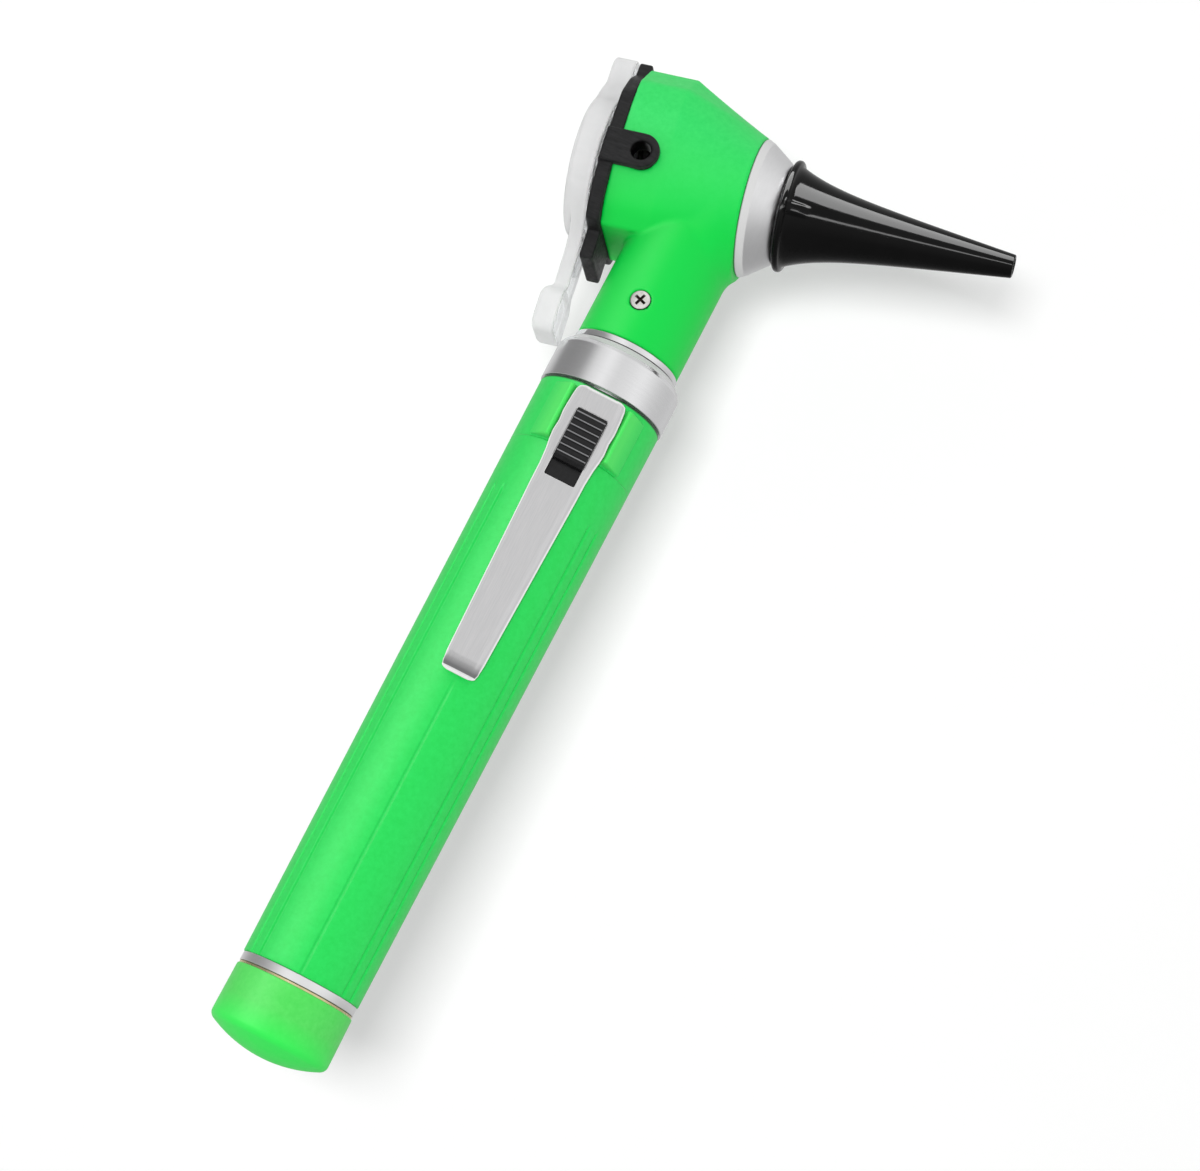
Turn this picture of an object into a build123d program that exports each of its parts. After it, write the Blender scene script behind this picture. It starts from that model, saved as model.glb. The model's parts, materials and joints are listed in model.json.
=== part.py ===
from build123d import *
import os
from math import asin, cos, radians, sin

# Pocket fibre-optic otoscope. Millimetres, +Z up along the handle.
# Origin: on the handle's axis, at the lowest point of the end cap's dome.
# +X is the side the speculum points to, -X is the viewing lens's side.
# The switch and clip face -Y, turned GRIP_TURN about the handle's axis.

# ---- driving dimensions -------------------------------------------------
GRIP_TURN = 13.0          # degrees from -Y to the clip's centre line, towards +X
RUN = 0.05                # radial clearance of a running fit
GAP = 0.1                 # clearance between neighbouring parts

# end cap and its brass insert
CAP_R = 9.6
CAP_CORNER_Z = 2.4        # where the dome meets the straight side
CAP_TOP_Z = 10.9
CAP_WALL = 1.2
CAP_FLOOR_Z = 2.6
INSERT_FLANGE = 0.3
CAP_THREAD_R = 8.0
CAP_THREAD_LENGTH = 6.0
CELL_BORE_R = 7.5

# handle
RING_Z0 = 11.3
RING_Z1 = 12.7
HANDLE_TOP_Z = 112.1
HANDLE_R_LOW = 9.5
HANDLE_R_TOP = 10.2
SLEEVE_R = 8.7            # metal sleeves pressed into the handle's two ends
LOW_SLEEVE_TOP_Z = 22.0
TOP_SLEEVE_BOTTOM_Z = 106.5
GROOVE_ANGLES = (-59.0, -46.0, 46.0, 59.0)
GROOVE_TOP_Z = 93.0
GROOVE_WIDTH = 0.55
GROOVE_DEPTH = 0.35
CENTRE_GROOVE_TOP_Z = 60.5

# two AA cells
CELL_R = 7.1
CELL_LENGTH = 50.4
CELL_BUTTON_R = 2.75
CELL_BUTTON_H = 1.2
CELL_Z0 = 9.2

# spring clip, seen with the clip facing -Y
CLIP_FRONT_Y = -11.35
CLIP_THICK = 0.75
CLIP_TOP_Z = 111.3
CLIP_TIP_Z = 62.2
CLIP_TAB_HALF = 3.0
CLIP_TAB_BACK_Y = -9.3
WINDOW_HALF = 2.55
WINDOW_Z0 = 95.8
WINDOW_Z1 = 107.5

# raised lugs that guard the clip
LUG_INNER_X = 4.75
LUG_CREST_X = 5.2
LUG_CREST_Y = -11.1
LUG_OUTER_X = 7.65
LUG_OUTER_Y = -7.25
LUG_Z0 = 101.3
LUG_Z1 = 110.9

# slide switch
SLIDER_Z0 = 98.7
SLIDER_Z1 = 107.3
SLIDER_FRONT_Y = -12.25
SLIDER_HALF = 2.45
RIB_PITCH = 1.13
RIB_WIDTH = 0.5
RIB_DEPTH = 0.3
SWITCH_TRAVEL = 2.8
FRAME_FRONT_Y = -10.35
FRAME_BACK_Y = -9.55
FRAME_HALF = 3.4
FRAME_Z0 = 93.5
FRAME_Z1 = 109.0
LEG_HALF = 1.1
LEG_Z0 = 101.7
LEG_Z1 = 105.0
LEG_END_Y = -8.6
CONTACT_THICK = 0.4       # brass leaf on the leg
STRIP_HALF = 1.4          # contact strip inside the handle
STRIP_FRONT_Y = -7.95
STRIP_THICK = 0.35
STRIP_TOP_Z = 99.1

# collar at the top of the handle
COLLAR_R = 10.4
COLLAR_SHOULDER_Z = 117.9
COLLAR_TOP_Z = 120.0
COLLAR_RIM_R = 9.05
SOCKET_R = 7.0
SOCKET_FLOOR_Z = 112.7
INSULATOR_Z0 = 110.95
CONTACT_FOOT_R = 2.6
CONTACT_STEM_R = 1.2
CONTACT_HEAD_R = 2.2
CONTACT_HEAD_Z0 = 114.2
CONTACT_HEAD_Z1 = 114.7
RECESS_Z = 119.6

# head base and lamp
BASE_FLANGE_R = 8.8
BASE_FLANGE_Z0 = 119.7
NECK_Z0 = 121.4
BASE_SPIGOT_BOTTOM_Z = 115.3
BASE_SPIGOT_TOP_Z = 131.0
NECK_BORE_R = 6.6
LAMP_R = 3.9
LAMP_FLANGE_R = 4.5
LAMP_FLANGE_Z0 = 116.0
LAMP_BODY_TOP_Z = 124.0
LAMP_FOOT_R = 3.6
BEAD_R = 3.2              # glass bead between lamp shell and end contact
BEAD_BOTTOM_Z = 115.4
LAMP_CONTACT_R = 1.4
LAMP_CONTACT_Z0 = 114.9
BULB_R = 3.0
BULB_DOME = 2.0
BULB_TOP_Z = 129.4

# head housing; "along" runs on the optical axis, "height" square to it
NECK_R = 8.65
HEAD_Z = 151.2            # where the optical axis crosses the handle's axis
HEAD_TILT = 10.0          # degrees that the speculum's axis rises
CASE_BACK = -14.2
CASE_BEND = -6.3
MOUTH = 7.1
MOUTH_R = 11.2
CASE_TOP = 17.2
CASE_TOP_HALF = 5.4
CASE_SHOULDER = 12.8
CASE_SHOULDER_HALF = 10.3
CASE_SIDE = 3.0
CASE_SIDE_HALF = 11.5
CASE_SKIRT = -8.5
CASE_SKIRT_HALF = 9.3
CASE_BOTTOM = -11.2
CASE_BOTTOM_HALF = 7.0
MOUTH_CORNERS = (66.0, 44.0, -42.0, -58.0)    # degrees, facing the casing's corners
NECK_TOP_Z = 146.2        # the neck ends inside the casing
CAVITY_R = 9.2

# neck screw
SCREW_Z = 128.1
SCREW_HEAD_R = 1.6
SCREW_HEAD_DEPTH = 1.0
SCREW_SHANK_R = 0.8
SCREW_LENGTH = 3.2

# rear plate and insufflation port
PLATE_THICK = 2.2
TAB_HALF = 5.2
TAB_TOP = 18.2
TAB_FOOT = 15.6
FOOT_HALF = 5.0
FOOT_TOP = -11.9
FOOT_BOTTOM = -16.5
WINDOW_R = 8.0
SEAL_R = 9.0
PORT_ALONG = -10.2
PORT_R = 1.55
PORT_WALL = 1.0
PORT_TAB_HALF = 2.9
PORT_TAB_FACE_Y = -12.7

# viewing lens and the rivet it swings on
PIVOT_HEIGHT = 14.9
PIVOT_R = 1.2
PIVOT_TAIL = 2.8
RIVET_HEAD_R = 2.1
WASHER_R = 2.2
LENS_FRONT = -17.05
LENS_BACK = -21.2
LENS_BEVEL = 0.9
LENS_R = 11.7
LENS_HEIGHT = 0.8         # centre of the lens disc above the optical axis
BOSS_BACK = -20.9
BOSS_HALF = 4.9
BOSS_TOP = 19.3
BOSS_CORNER = 2.4
COUNTERBORE_DEPTH = 0.9
STEM_BACK = -19.4
STEM_HALF = 2.6
THUMB_BACK = -20.9
THUMB_HALF = 4.3
THUMB_TOP = -21.6
THUMB_BOTTOM = -29.2
THUMB_ROUND = 2.0

# nose cone, barrel and ear speculum
CONE_BEVEL = 8.6
CONE_BEVEL_R = 10.35
CONE_END = 12.1
CONE_END_R = 7.9
BARREL_END = 20.0
BARREL_R0 = 6.3
BARREL_R1 = 4.5
BARREL_BORE_R = 2.4
GUIDE_R = 0.9
GUIDE_HEIGHT = -3.4
GUIDE_BEND = 8.5          # where the bundle straightens along the barrel
SPEC_START = 12.45
SPEC_FLANGE = 1.0
SPEC_FLANGE_R = 9.0
SPEC_BODY_R = 7.95
SPEC_FLARE = ((19.5, 6.0), (26.0, 4.75))      # (along, radius) on the trumpet's side
SPEC_END = 49.3
SPEC_TIP_R = 1.85
SPEC_WALL = 0.7

# ---- helpers ------------------------------------------------------------
def spin_z(points):
    """Solid turned about the handle's axis from (radius, z) points."""
    profile = Plane.XZ * make_face(Polyline(*points, close=True))
    return revolve(profile, Axis.Z)


def spin_x(points):
    """Solid turned about the X axis from (along, radius) points."""
    profile = Plane.XZ * make_face(Polyline(*points, close=True))
    return revolve(profile, Axis.X)


def rod_z(radius, z0, z1):
    """Cylinder on the Z axis between two heights."""
    return Pos(0, 0, (z0 + z1) / 2) * Cylinder(radius, z1 - z0)


def rod_x(radius, x0, x1):
    """Cylinder on the X axis between two places along it."""
    return Pos((x0 + x1) / 2, 0, 0) * Rot(0, 90, 0) * Cylinder(radius, x1 - x0)


def rod_y(radius, y0, y1):
    """Cylinder on the Y axis between two places along it."""
    return Pos(0, (y0 + y1) / 2, 0) * Rot(90, 0, 0) * Cylinder(radius, y1 - y0)


def block(x0, x1, y0, y1, z0, z1):
    """Box between two opposite corners."""
    centre = Pos((x0 + x1) / 2, (y0 + y1) / 2, (z0 + z1) / 2)
    return centre * Box(x1 - x0, y1 - y0, z1 - z0)


def front_plate(points, y_front, thickness):
    """Plate facing -Y, cut from an (x, z) outline."""
    outline = make_face(Polyline(*points, close=True))
    return Pos(0, y_front, 0) * extrude(Plane.XZ * outline, -thickness)


def mirrored(points):
    """Closed outline from its right half, listed from top to bottom."""
    left = [(-across, height) for across, height in reversed(points)]
    return points + left


def cross_plate(points, start, end):
    """Plate square to the X axis, cut from an (across Y, height) outline."""
    outline = make_face(Polyline(*points, close=True))
    return Pos(start, 0, 0) * extrude(Plane.YZ * outline, end - start)


def on_grip(shape):
    """Turn a piece that was built facing -Y onto the switch side."""
    return Rot(0, 0, GRIP_TURN) * shape


def on_head(shape):
    """Tilt and lift a piece that was built along X onto the optical axis."""
    return Pos(0, 0, HEAD_Z) * Rot(0, -HEAD_TILT, 0) * shape


def handle_radius(z):
    """Outer radius of the slightly tapered handle at a height."""
    share = (z - RING_Z1) / (HANDLE_TOP_Z - RING_Z1)
    return HANDLE_R_LOW + share * (HANDLE_R_TOP - HANDLE_R_LOW)


def dome_arc(radius, rise, pole_z, corner_z):
    """Arc from the axis to a rim, square to the axis at its pole."""
    sphere_r = (radius ** 2 + rise ** 2) / (2 * rise)
    half_turn = asin(radius / sphere_r) / 2
    middle_drop = sphere_r * (1 - cos(half_turn))
    up = 1 if corner_z > pole_z else -1
    middle = (sphere_r * sin(half_turn), pole_z + up * middle_drop)
    return ThreePointArc((0, pole_z), middle, (radius, corner_z))


def coil(radius, wire_r, z0, z1, turns):
    """Round-wire compression spring on the Z axis."""
    height = z1 - z0 - 2 * wire_r
    path = Pos(0, 0, z0 + wire_r) * Helix(height / turns, height, radius)
    section = Plane(path @ 0, z_dir=path % 0) * Circle(wire_r)
    return sweep(section, path)


# ---- end cap ------------------------------------------------------------
def end_cap():
    """Moulded cup with a shallow domed base."""
    dome = dome_arc(CAP_R, CAP_CORNER_Z, 0, CAP_CORNER_Z)
    rest = Polyline((CAP_R, CAP_CORNER_Z), (CAP_R - 0.1, CAP_TOP_Z), (0, CAP_TOP_Z), (0, 0))
    body = revolve(Plane.XZ * make_face([dome, rest]), Axis.Z)
    return body - rod_z(CAP_R - CAP_WALL, CAP_FLOOR_Z, CAP_TOP_Z)


def cap_insert():
    """Brass cup with the thread that screws into the bottom ring."""
    outer_r = CAP_R - CAP_WALL
    inner_r = CAP_THREAD_R - 0.55
    flange_top = CAP_TOP_Z + INSERT_FLANGE
    return spin_z([
        (0, CAP_FLOOR_Z), (outer_r, CAP_FLOOR_Z), (outer_r, CAP_TOP_Z),
        (CAP_R - 0.3, CAP_TOP_Z), (CAP_R - 0.3, flange_top),
        (CAP_THREAD_R, flange_top), (CAP_THREAD_R, flange_top + CAP_THREAD_LENGTH),
        (inner_r, flange_top + CAP_THREAD_LENGTH), (inner_r, CAP_FLOOR_Z + 0.5),
        (0, CAP_FLOOR_Z + 0.5),
    ])


def battery_spring():
    """Spring that presses the cells against the centre contact."""
    return coil(5.2, 0.4, CAP_FLOOR_Z + 0.55, CELL_Z0 - 0.05, 3.5)


# ---- handle -------------------------------------------------------------
def bottom_ring():
    """Silver ring with a sleeve pressed into the handle's lower end."""
    bore_r = CAP_THREAD_R + RUN
    return spin_z([
        (bore_r, RING_Z0), (HANDLE_R_LOW - 0.1, RING_Z0), (HANDLE_R_LOW - 0.1, RING_Z1),
        (SLEEVE_R, RING_Z1), (SLEEVE_R, LOW_SLEEVE_TOP_Z), (bore_r, LOW_SLEEVE_TOP_Z),
    ])


def groove(angle, top_z):
    """Cutter for one shallow groove down the tapered handle."""
    lean = Rot(0, 0, angle + 90)
    outline = [
        (-handle_radius(RING_Z1) + GROOVE_DEPTH, RING_Z1 - 1),
        (-handle_radius(top_z) + GROOVE_DEPTH, top_z),
        (-handle_radius(top_z) - 1, top_z + 2),
        (-handle_radius(RING_Z1) - 1, RING_Z1 - 1),
    ]
    face = Plane.XZ * make_face(Polyline(*outline, close=True))
    return lean * extrude(face, GROOVE_WIDTH / 2, both=True)


def guard_lugs():
    """Two wedge-shaped lugs, one on each side of the clip's top."""
    section = [
        (LUG_INNER_X, -7.5), (LUG_INNER_X, LUG_CREST_Y), (LUG_CREST_X, LUG_CREST_Y),
        (LUG_OUTER_X, LUG_OUTER_Y), (LUG_OUTER_X - 0.4, LUG_OUTER_Y + 0.7),
    ]
    lug = Pos(0, 0, LUG_Z0) * extrude(make_face(Polyline(*section, close=True)), LUG_Z1 - LUG_Z0)
    return lug + mirror(lug, Plane.YZ)


def handle_tube():
    """Tapered battery handle with grooves, lugs and the switch opening."""
    body = spin_z([
        (CELL_BORE_R, RING_Z1), (HANDLE_R_LOW, RING_Z1),
        (HANDLE_R_TOP, HANDLE_TOP_Z), (CELL_BORE_R, HANDLE_TOP_Z),
    ])
    body += on_grip(guard_lugs())
    body -= rod_z(SLEEVE_R, RING_Z1, LOW_SLEEVE_TOP_Z)
    body -= rod_z(SLEEVE_R, TOP_SLEEVE_BOTTOM_Z, HANDLE_TOP_Z)
    strip_half = STRIP_HALF + 2 * GAP
    strip_slot = block(-strip_half, strip_half, STRIP_FRONT_Y - GAP, 0, RING_Z1, TOP_SLEEVE_BOTTOM_Z)
    seat = block(-FRAME_HALF - GAP, FRAME_HALF + GAP, -13, FRAME_BACK_Y, FRAME_Z0 - GAP, HANDLE_TOP_Z)
    leg_slot = block(-1.5, 1.5, -12, 0, LEG_Z0 - SWITCH_TRAVEL - 0.4, LEG_Z1 + 0.4)
    clip_slot = block(-3.3, 3.3, -12, -8.9, CLIP_TOP_Z - 1.2, HANDLE_TOP_Z)
    body -= on_grip(strip_slot + seat + leg_slot + clip_slot)
    for side in (0, 180):
        for angle in GROOVE_ANGLES:
            body -= groove(angle + GRIP_TURN - 180 + side, GROOVE_TOP_Z)
        body -= groove(GRIP_TURN - 180 + side, CENTRE_GROOVE_TOP_Z)
    return body


def cell(z0):
    """One AA cell with its raised button."""
    can_top = z0 + CELL_LENGTH - CELL_BUTTON_H
    can = rod_z(CELL_R, z0, can_top)
    can = fillet(can.edges().filter_by(GeomType.CIRCLE), 0.4)
    return can + rod_z(CELL_BUTTON_R, can_top, z0 + CELL_LENGTH)


def contact_strip():
    """Brass strip that joins the bottom ring to the switch."""
    half = STRIP_HALF
    back_y = STRIP_FRONT_Y + STRIP_THICK
    return on_grip(block(-half, half, STRIP_FRONT_Y, back_y, LOW_SLEEVE_TOP_Z + RUN, STRIP_TOP_Z))


def top_collar():
    """Silver collar whose spigot is pressed into the handle's upper end."""
    shoulder_r = COLLAR_R - 0.4
    spigot_r = CELL_BORE_R + 0.05
    outline = Polyline(
        (SOCKET_R + RUN, SOCKET_FLOOR_Z), (spigot_r, SOCKET_FLOOR_Z),
        (spigot_r, TOP_SLEEVE_BOTTOM_Z), (SLEEVE_R, TOP_SLEEVE_BOTTOM_Z),
        (SLEEVE_R, HANDLE_TOP_Z), (COLLAR_R, HANDLE_TOP_Z), (COLLAR_R, COLLAR_SHOULDER_Z),
    )
    bend = ThreePointArc(
        (COLLAR_R, COLLAR_SHOULDER_Z), (COLLAR_R - 0.12, COLLAR_SHOULDER_Z + 0.5),
        (shoulder_r, COLLAR_SHOULDER_Z + 0.9),
    )
    rim_bore = BASE_FLANGE_R + GAP
    top = Polyline(
        (shoulder_r, COLLAR_SHOULDER_Z + 0.9), (COLLAR_RIM_R, COLLAR_TOP_Z),
        (rim_bore, COLLAR_TOP_Z), (rim_bore, RECESS_Z),
        (SOCKET_R + RUN, RECESS_Z), (SOCKET_R + RUN, SOCKET_FLOOR_Z),
    )
    return revolve(Plane.XZ * make_face([outline, bend, top]), Axis.Z)


def contact_insulator():
    """Disc that holds the centre contact clear of the metal collar."""
    disc = rod_z(CELL_BORE_R, INSULATOR_Z0, SOCKET_FLOOR_Z - GAP)
    return disc - rod_z(CONTACT_STEM_R + GAP, INSULATOR_Z0 - 1, SOCKET_FLOOR_Z + 1)


def centre_contact():
    """Pin that carries current from the upper cell to the lamp."""
    foot_z0 = CELL_Z0 + 2 * CELL_LENGTH + GAP
    foot = rod_z(CONTACT_FOOT_R, foot_z0, INSULATOR_Z0 - RUN)
    stem = rod_z(CONTACT_STEM_R, INSULATOR_Z0 - RUN, CONTACT_HEAD_Z0)
    return foot + stem + rod_z(CONTACT_HEAD_R, CONTACT_HEAD_Z0, CONTACT_HEAD_Z1)


def contact_spring():
    """Small spring under the centre contact's head."""
    return coil(1.75, 0.2, SOCKET_FLOOR_Z - RUN, CONTACT_HEAD_Z0 - RUN, 2.5)


# ---- clip and switch ----------------------------------------------------
def clip_outline():
    """Right half of the clip's outline, from its top to its tip."""
    return [
        (3.4, CLIP_TOP_Z), (4.1, CLIP_TOP_Z - 0.9), (4.45, 105.5), (4.45, 102.3),
        (4.1, 99.5), (3.85, 94.5), (3.05, 63.8), (2.4, CLIP_TIP_Z),
    ]


def pocket_clip():
    """Sprung steel clip with the switch window and a return tab at its top."""
    plate = front_plate(mirrored(clip_outline()), CLIP_FRONT_Y, CLIP_THICK)
    plate = chamfer(plate.edges().filter_by(Axis.X).sort_by(Axis.Z)[:2].sort_by(Axis.Y)[:1], 0.35)
    window = block(-WINDOW_HALF, WINDOW_HALF, -13, -9, WINDOW_Z0, WINDOW_Z1)
    tab_front = CLIP_FRONT_Y + 0.3
    tab_z0 = CLIP_TOP_Z - CLIP_THICK
    tab = block(-CLIP_TAB_HALF, CLIP_TAB_HALF, tab_front, CLIP_TAB_BACK_Y, tab_z0, CLIP_TOP_Z)
    return on_grip(plate - window + tab)


def switch_frame():
    """Black bed that the slider runs on."""
    bed = block(-FRAME_HALF, FRAME_HALF, FRAME_FRONT_Y, FRAME_BACK_Y - 0.05, FRAME_Z0, FRAME_Z1)
    slot = block(-LEG_HALF - GAP, LEG_HALF + GAP, -12, -8, LEG_Z0 - SWITCH_TRAVEL - GAP, LEG_Z1 + GAP)
    return on_grip(bed - slot)


def switch_slider():
    """Ribbed thumb slider with a leg into the handle."""
    pad = block(-SLIDER_HALF, SLIDER_HALF, SLIDER_FRONT_Y, FRAME_FRONT_Y - RUN, SLIDER_Z0, SLIDER_Z1)
    pad = chamfer(pad.edges().filter_by(Axis.X).sort_by(Axis.Y)[:2].sort_by(Axis.Z)[:1], 0.7)
    leg = block(-LEG_HALF, LEG_HALF, FRAME_FRONT_Y - RUN, LEG_END_Y, LEG_Z0, LEG_Z1)
    slider = pad + leg
    count = int((SLIDER_Z1 - SLIDER_Z0 - 1.0) / RIB_PITCH)
    for index in range(count):
        low = SLIDER_Z1 - RIB_PITCH * (index + 1)
        high = low + RIB_PITCH - RIB_WIDTH
        slider -= block(-3, 3, SLIDER_FRONT_Y - 1, SLIDER_FRONT_Y + RIB_DEPTH, low, high)
    return on_grip(slider)


def switch_contact():
    """Brass leaf on the slider's leg."""
    half = LEG_HALF + GAP
    return on_grip(block(-half, half, LEG_END_Y, LEG_END_Y + CONTACT_THICK, LEG_Z0 - 0.2, LEG_Z1 + 0.2))


# ---- lamp ---------------------------------------------------------------
def lamp_base():
    """Metal lamp shell with the flange that locates it in the head base."""
    return spin_z([
        (BEAD_R, BEAD_BOTTOM_Z), (LAMP_FOOT_R, BEAD_BOTTOM_Z), (LAMP_FOOT_R, LAMP_FLANGE_Z0),
        (LAMP_FLANGE_R, LAMP_FLANGE_Z0), (LAMP_FLANGE_R, LAMP_FLANGE_Z0 + 1),
        (LAMP_R, LAMP_FLANGE_Z0 + 1), (LAMP_R, LAMP_BODY_TOP_Z),
        (BULB_R, LAMP_BODY_TOP_Z), (BULB_R, LAMP_FLANGE_Z0 + 2),
        (BEAD_R, LAMP_FLANGE_Z0 + 2),
    ])


def lamp_insulator():
    """Glass bead between the lamp shell and its end contact."""
    bead = rod_z(BEAD_R, BEAD_BOTTOM_Z, LAMP_FLANGE_Z0 + 2)
    return bead - rod_z(LAMP_CONTACT_R, BEAD_BOTTOM_Z - 1, LAMP_FLANGE_Z0 + 1)


def lamp_contact():
    """End contact of the lamp."""
    return rod_z(LAMP_CONTACT_R, LAMP_CONTACT_Z0, LAMP_FLANGE_Z0 + 1)


def lamp_bulb():
    """Glass bulb with a lens end."""
    straight_top = BULB_TOP_Z - BULB_DOME
    foot_z = LAMP_FLANGE_Z0 + 2
    side = Polyline((0, BULB_TOP_Z), (0, foot_z), (BULB_R, foot_z), (BULB_R, straight_top))
    dome = dome_arc(BULB_R, BULB_DOME, BULB_TOP_Z, straight_top)
    return revolve(Plane.XZ * make_face([side, dome]), Axis.Z)


# ---- head ---------------------------------------------------------------
def head_base():
    """Chromed base: threaded spigot below, flange, and spigot into the neck."""
    lamp_bore = LAMP_R + RUN
    pocket_r = LAMP_FLANGE_R + RUN
    pocket_top = LAMP_FLANGE_Z0 + 1 + RUN
    base = spin_z([
        (pocket_r, BASE_SPIGOT_BOTTOM_Z), (SOCKET_R, BASE_SPIGOT_BOTTOM_Z),
        (SOCKET_R, BASE_FLANGE_Z0), (BASE_FLANGE_R, BASE_FLANGE_Z0),
        (BASE_FLANGE_R, NECK_Z0), (NECK_BORE_R, NECK_Z0),
        (NECK_BORE_R, BASE_SPIGOT_TOP_Z), (lamp_bore, BASE_SPIGOT_TOP_Z),
        (lamp_bore, pocket_top), (pocket_r, pocket_top),
    ])
    return base - Pos(0, 0, SCREW_Z) * rod_y(SCREW_SHANK_R, -NECK_R, 0)


def case_section():
    """Right half of the casing's eight-sided section, from top to bottom."""
    return [
        (CASE_TOP_HALF, CASE_TOP), (CASE_SHOULDER_HALF, CASE_SHOULDER),
        (CASE_SKIRT_HALF, CASE_SKIRT), (CASE_BOTTOM_HALF, CASE_BOTTOM),
    ]


def case_face(along):
    """Closed section of the casing, with gently bowed sides."""
    top, shoulder, skirt, bottom = case_section()
    edges = [
        Line((-top[0], top[1]), top),
        Line(top, shoulder),
        ThreePointArc(shoulder, (CASE_SIDE_HALF, CASE_SIDE), skirt),
        Line(skirt, bottom),
        Line(bottom, (-bottom[0], bottom[1])),
        Line((-bottom[0], bottom[1]), (-skirt[0], skirt[1])),
        ThreePointArc((-skirt[0], skirt[1]), (-CASE_SIDE_HALF, CASE_SIDE), (-shoulder[0], shoulder[1])),
        Line((-shoulder[0], shoulder[1]), (-top[0], top[1])),
    ]
    return Plane.YZ.offset(along) * make_face(edges)


def mouth_face(along):
    """Round mouth, split at the same eight corners as the casing's section."""
    right = list(MOUTH_CORNERS)
    left = [-180 - corner for corner in reversed(right)]
    angles = [180 - right[0]] + right + left[:-1]
    edges = []
    for start, end in zip(angles, angles[1:] + [angles[0] - 360]):
        middle = (start + end) / 2
        points = [(MOUTH_R * cos(radians(a)), MOUTH_R * sin(radians(a))) for a in (start, middle, end)]
        edges.append(ThreePointArc(*points))
    return Plane.YZ.offset(along) * make_face(edges)


def head_housing():
    """Green moulding: casing, round mouth and neck in one piece."""
    rear = extrude(case_face(CASE_BACK), CASE_BEND - CASE_BACK, dir=(1, 0, 0))
    nose = loft([case_face(CASE_BEND), mouth_face(MOUTH)], ruled=True)
    beyond_mouth = block(MOUTH, MOUTH + 5, -NECK_R, NECK_R, -20, 0)
    body = on_head(rear + nose)
    body += rod_z(NECK_R, NECK_Z0, NECK_TOP_Z) - on_head(beyond_mouth)
    body -= rod_z(NECK_BORE_R, NECK_Z0, BASE_SPIGOT_TOP_Z + GAP)
    body -= rod_z(GUIDE_R + RUN, BASE_SPIGOT_TOP_Z, HEAD_Z)
    cavity = rod_x(CAVITY_R, CASE_BACK, MOUTH)
    port = Pos(PORT_ALONG, 0, 0) * rod_y(PORT_R + PORT_WALL + RUN, -13, 0)
    pin_hole = Pos(0, 0, PIVOT_HEIGHT) * rod_x(PIVOT_R - 0.2, CASE_BACK, CASE_BACK + PIVOT_TAIL)
    body -= on_head(cavity + port + pin_hole)
    head_bore = Pos(0, 0, SCREW_Z) * rod_y(SCREW_HEAD_R + RUN, -NECK_R - 1, SCREW_HEAD_DEPTH - NECK_R)
    shank_bore = Pos(0, 0, SCREW_Z) * rod_y(SCREW_SHANK_R + RUN, -NECK_R, 0)
    return body - head_bore - shank_bore


def neck_screw():
    """Cross-head screw that holds the neck on the head base."""
    face_y = -NECK_R - 0.15
    head = rod_y(SCREW_HEAD_R, face_y, SCREW_HEAD_DEPTH - NECK_R)
    shank = rod_y(SCREW_SHANK_R, SCREW_HEAD_DEPTH - NECK_R, SCREW_LENGTH - NECK_R)
    slot_a = block(-1.0, 1.0, face_y - 1, face_y + 0.5, -0.2, 0.2)
    slot_b = block(-0.2, 0.2, face_y - 1, face_y + 0.5, -1.0, 1.0)
    return Pos(0, 0, SCREW_Z) * (head + shank - slot_a - slot_b)


def light_guide():
    """Fibre bundle from the lamp, up the neck and along the barrel's wall."""
    start = (0, 0, BULB_TOP_Z + 0.3)
    rise = (0, 0, HEAD_Z - CAVITY_R + 0.8)
    tilt = radians(HEAD_TILT)
    join = (
        GUIDE_BEND * cos(tilt) - GUIDE_HEIGHT * sin(tilt), 0,
        HEAD_Z + GUIDE_BEND * sin(tilt) + GUIDE_HEIGHT * cos(tilt),
    )
    end = (
        BARREL_END * cos(tilt) - GUIDE_HEIGHT * sin(tilt), 0,
        HEAD_Z + BARREL_END * sin(tilt) + GUIDE_HEIGHT * cos(tilt),
    )
    bend = Spline(rise, join, tangents=[(0, 0, 1), (cos(tilt), 0, sin(tilt))])
    path = Wire([Line(start, rise), bend, Line(join, end)])
    return sweep(Plane(start, z_dir=(0, 0, 1)) * Circle(GUIDE_R), path)


def nose_cone():
    """Turned metal cone, with a spigot that fits in the casing's mouth."""
    return on_head(spin_x([
        (MOUTH - 3, CAVITY_R), (MOUTH - 3, CAVITY_R - 1), (MOUTH, CAVITY_R - 1),
        (CONE_END - 1, BARREL_R0), (CONE_END, BARREL_R0), (CONE_END, CONE_END_R),
        (CONE_BEVEL, CONE_BEVEL_R), (MOUTH + 0.1, MOUTH_R - 0.1), (MOUTH, MOUTH_R - 0.2),
        (MOUTH, CAVITY_R),
    ]))


def nose_barrel():
    """Tapered barrel that the speculum seats on, with the light guide's bore."""
    tube = spin_x([
        (CONE_END - 1, BARREL_BORE_R), (CONE_END - 1, BARREL_R0), (CONE_END, BARREL_R0),
        (BARREL_END, BARREL_R1), (BARREL_END, BARREL_BORE_R),
    ])
    bore = Pos(0, 0, GUIDE_HEIGHT) * rod_x(GUIDE_R + 0.02, 0, BARREL_END)
    return on_head(tube - bore)


def plate_outline():
    """Right half of the rear plate's outline, from top to bottom."""
    return [
        (TAB_HALF, TAB_TOP), (TAB_HALF + 0.6, TAB_FOOT), (8.7, 13.6), (11.3, 10.0), (11.9, 4.0),
        (11.95, -3.0), (11.8, -5.8), (9.9, -9.9), (8.7, -11.4), (FOOT_HALF + 0.2, FOOT_TOP),
        (FOOT_HALF, FOOT_BOTTOM),
    ]


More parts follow.
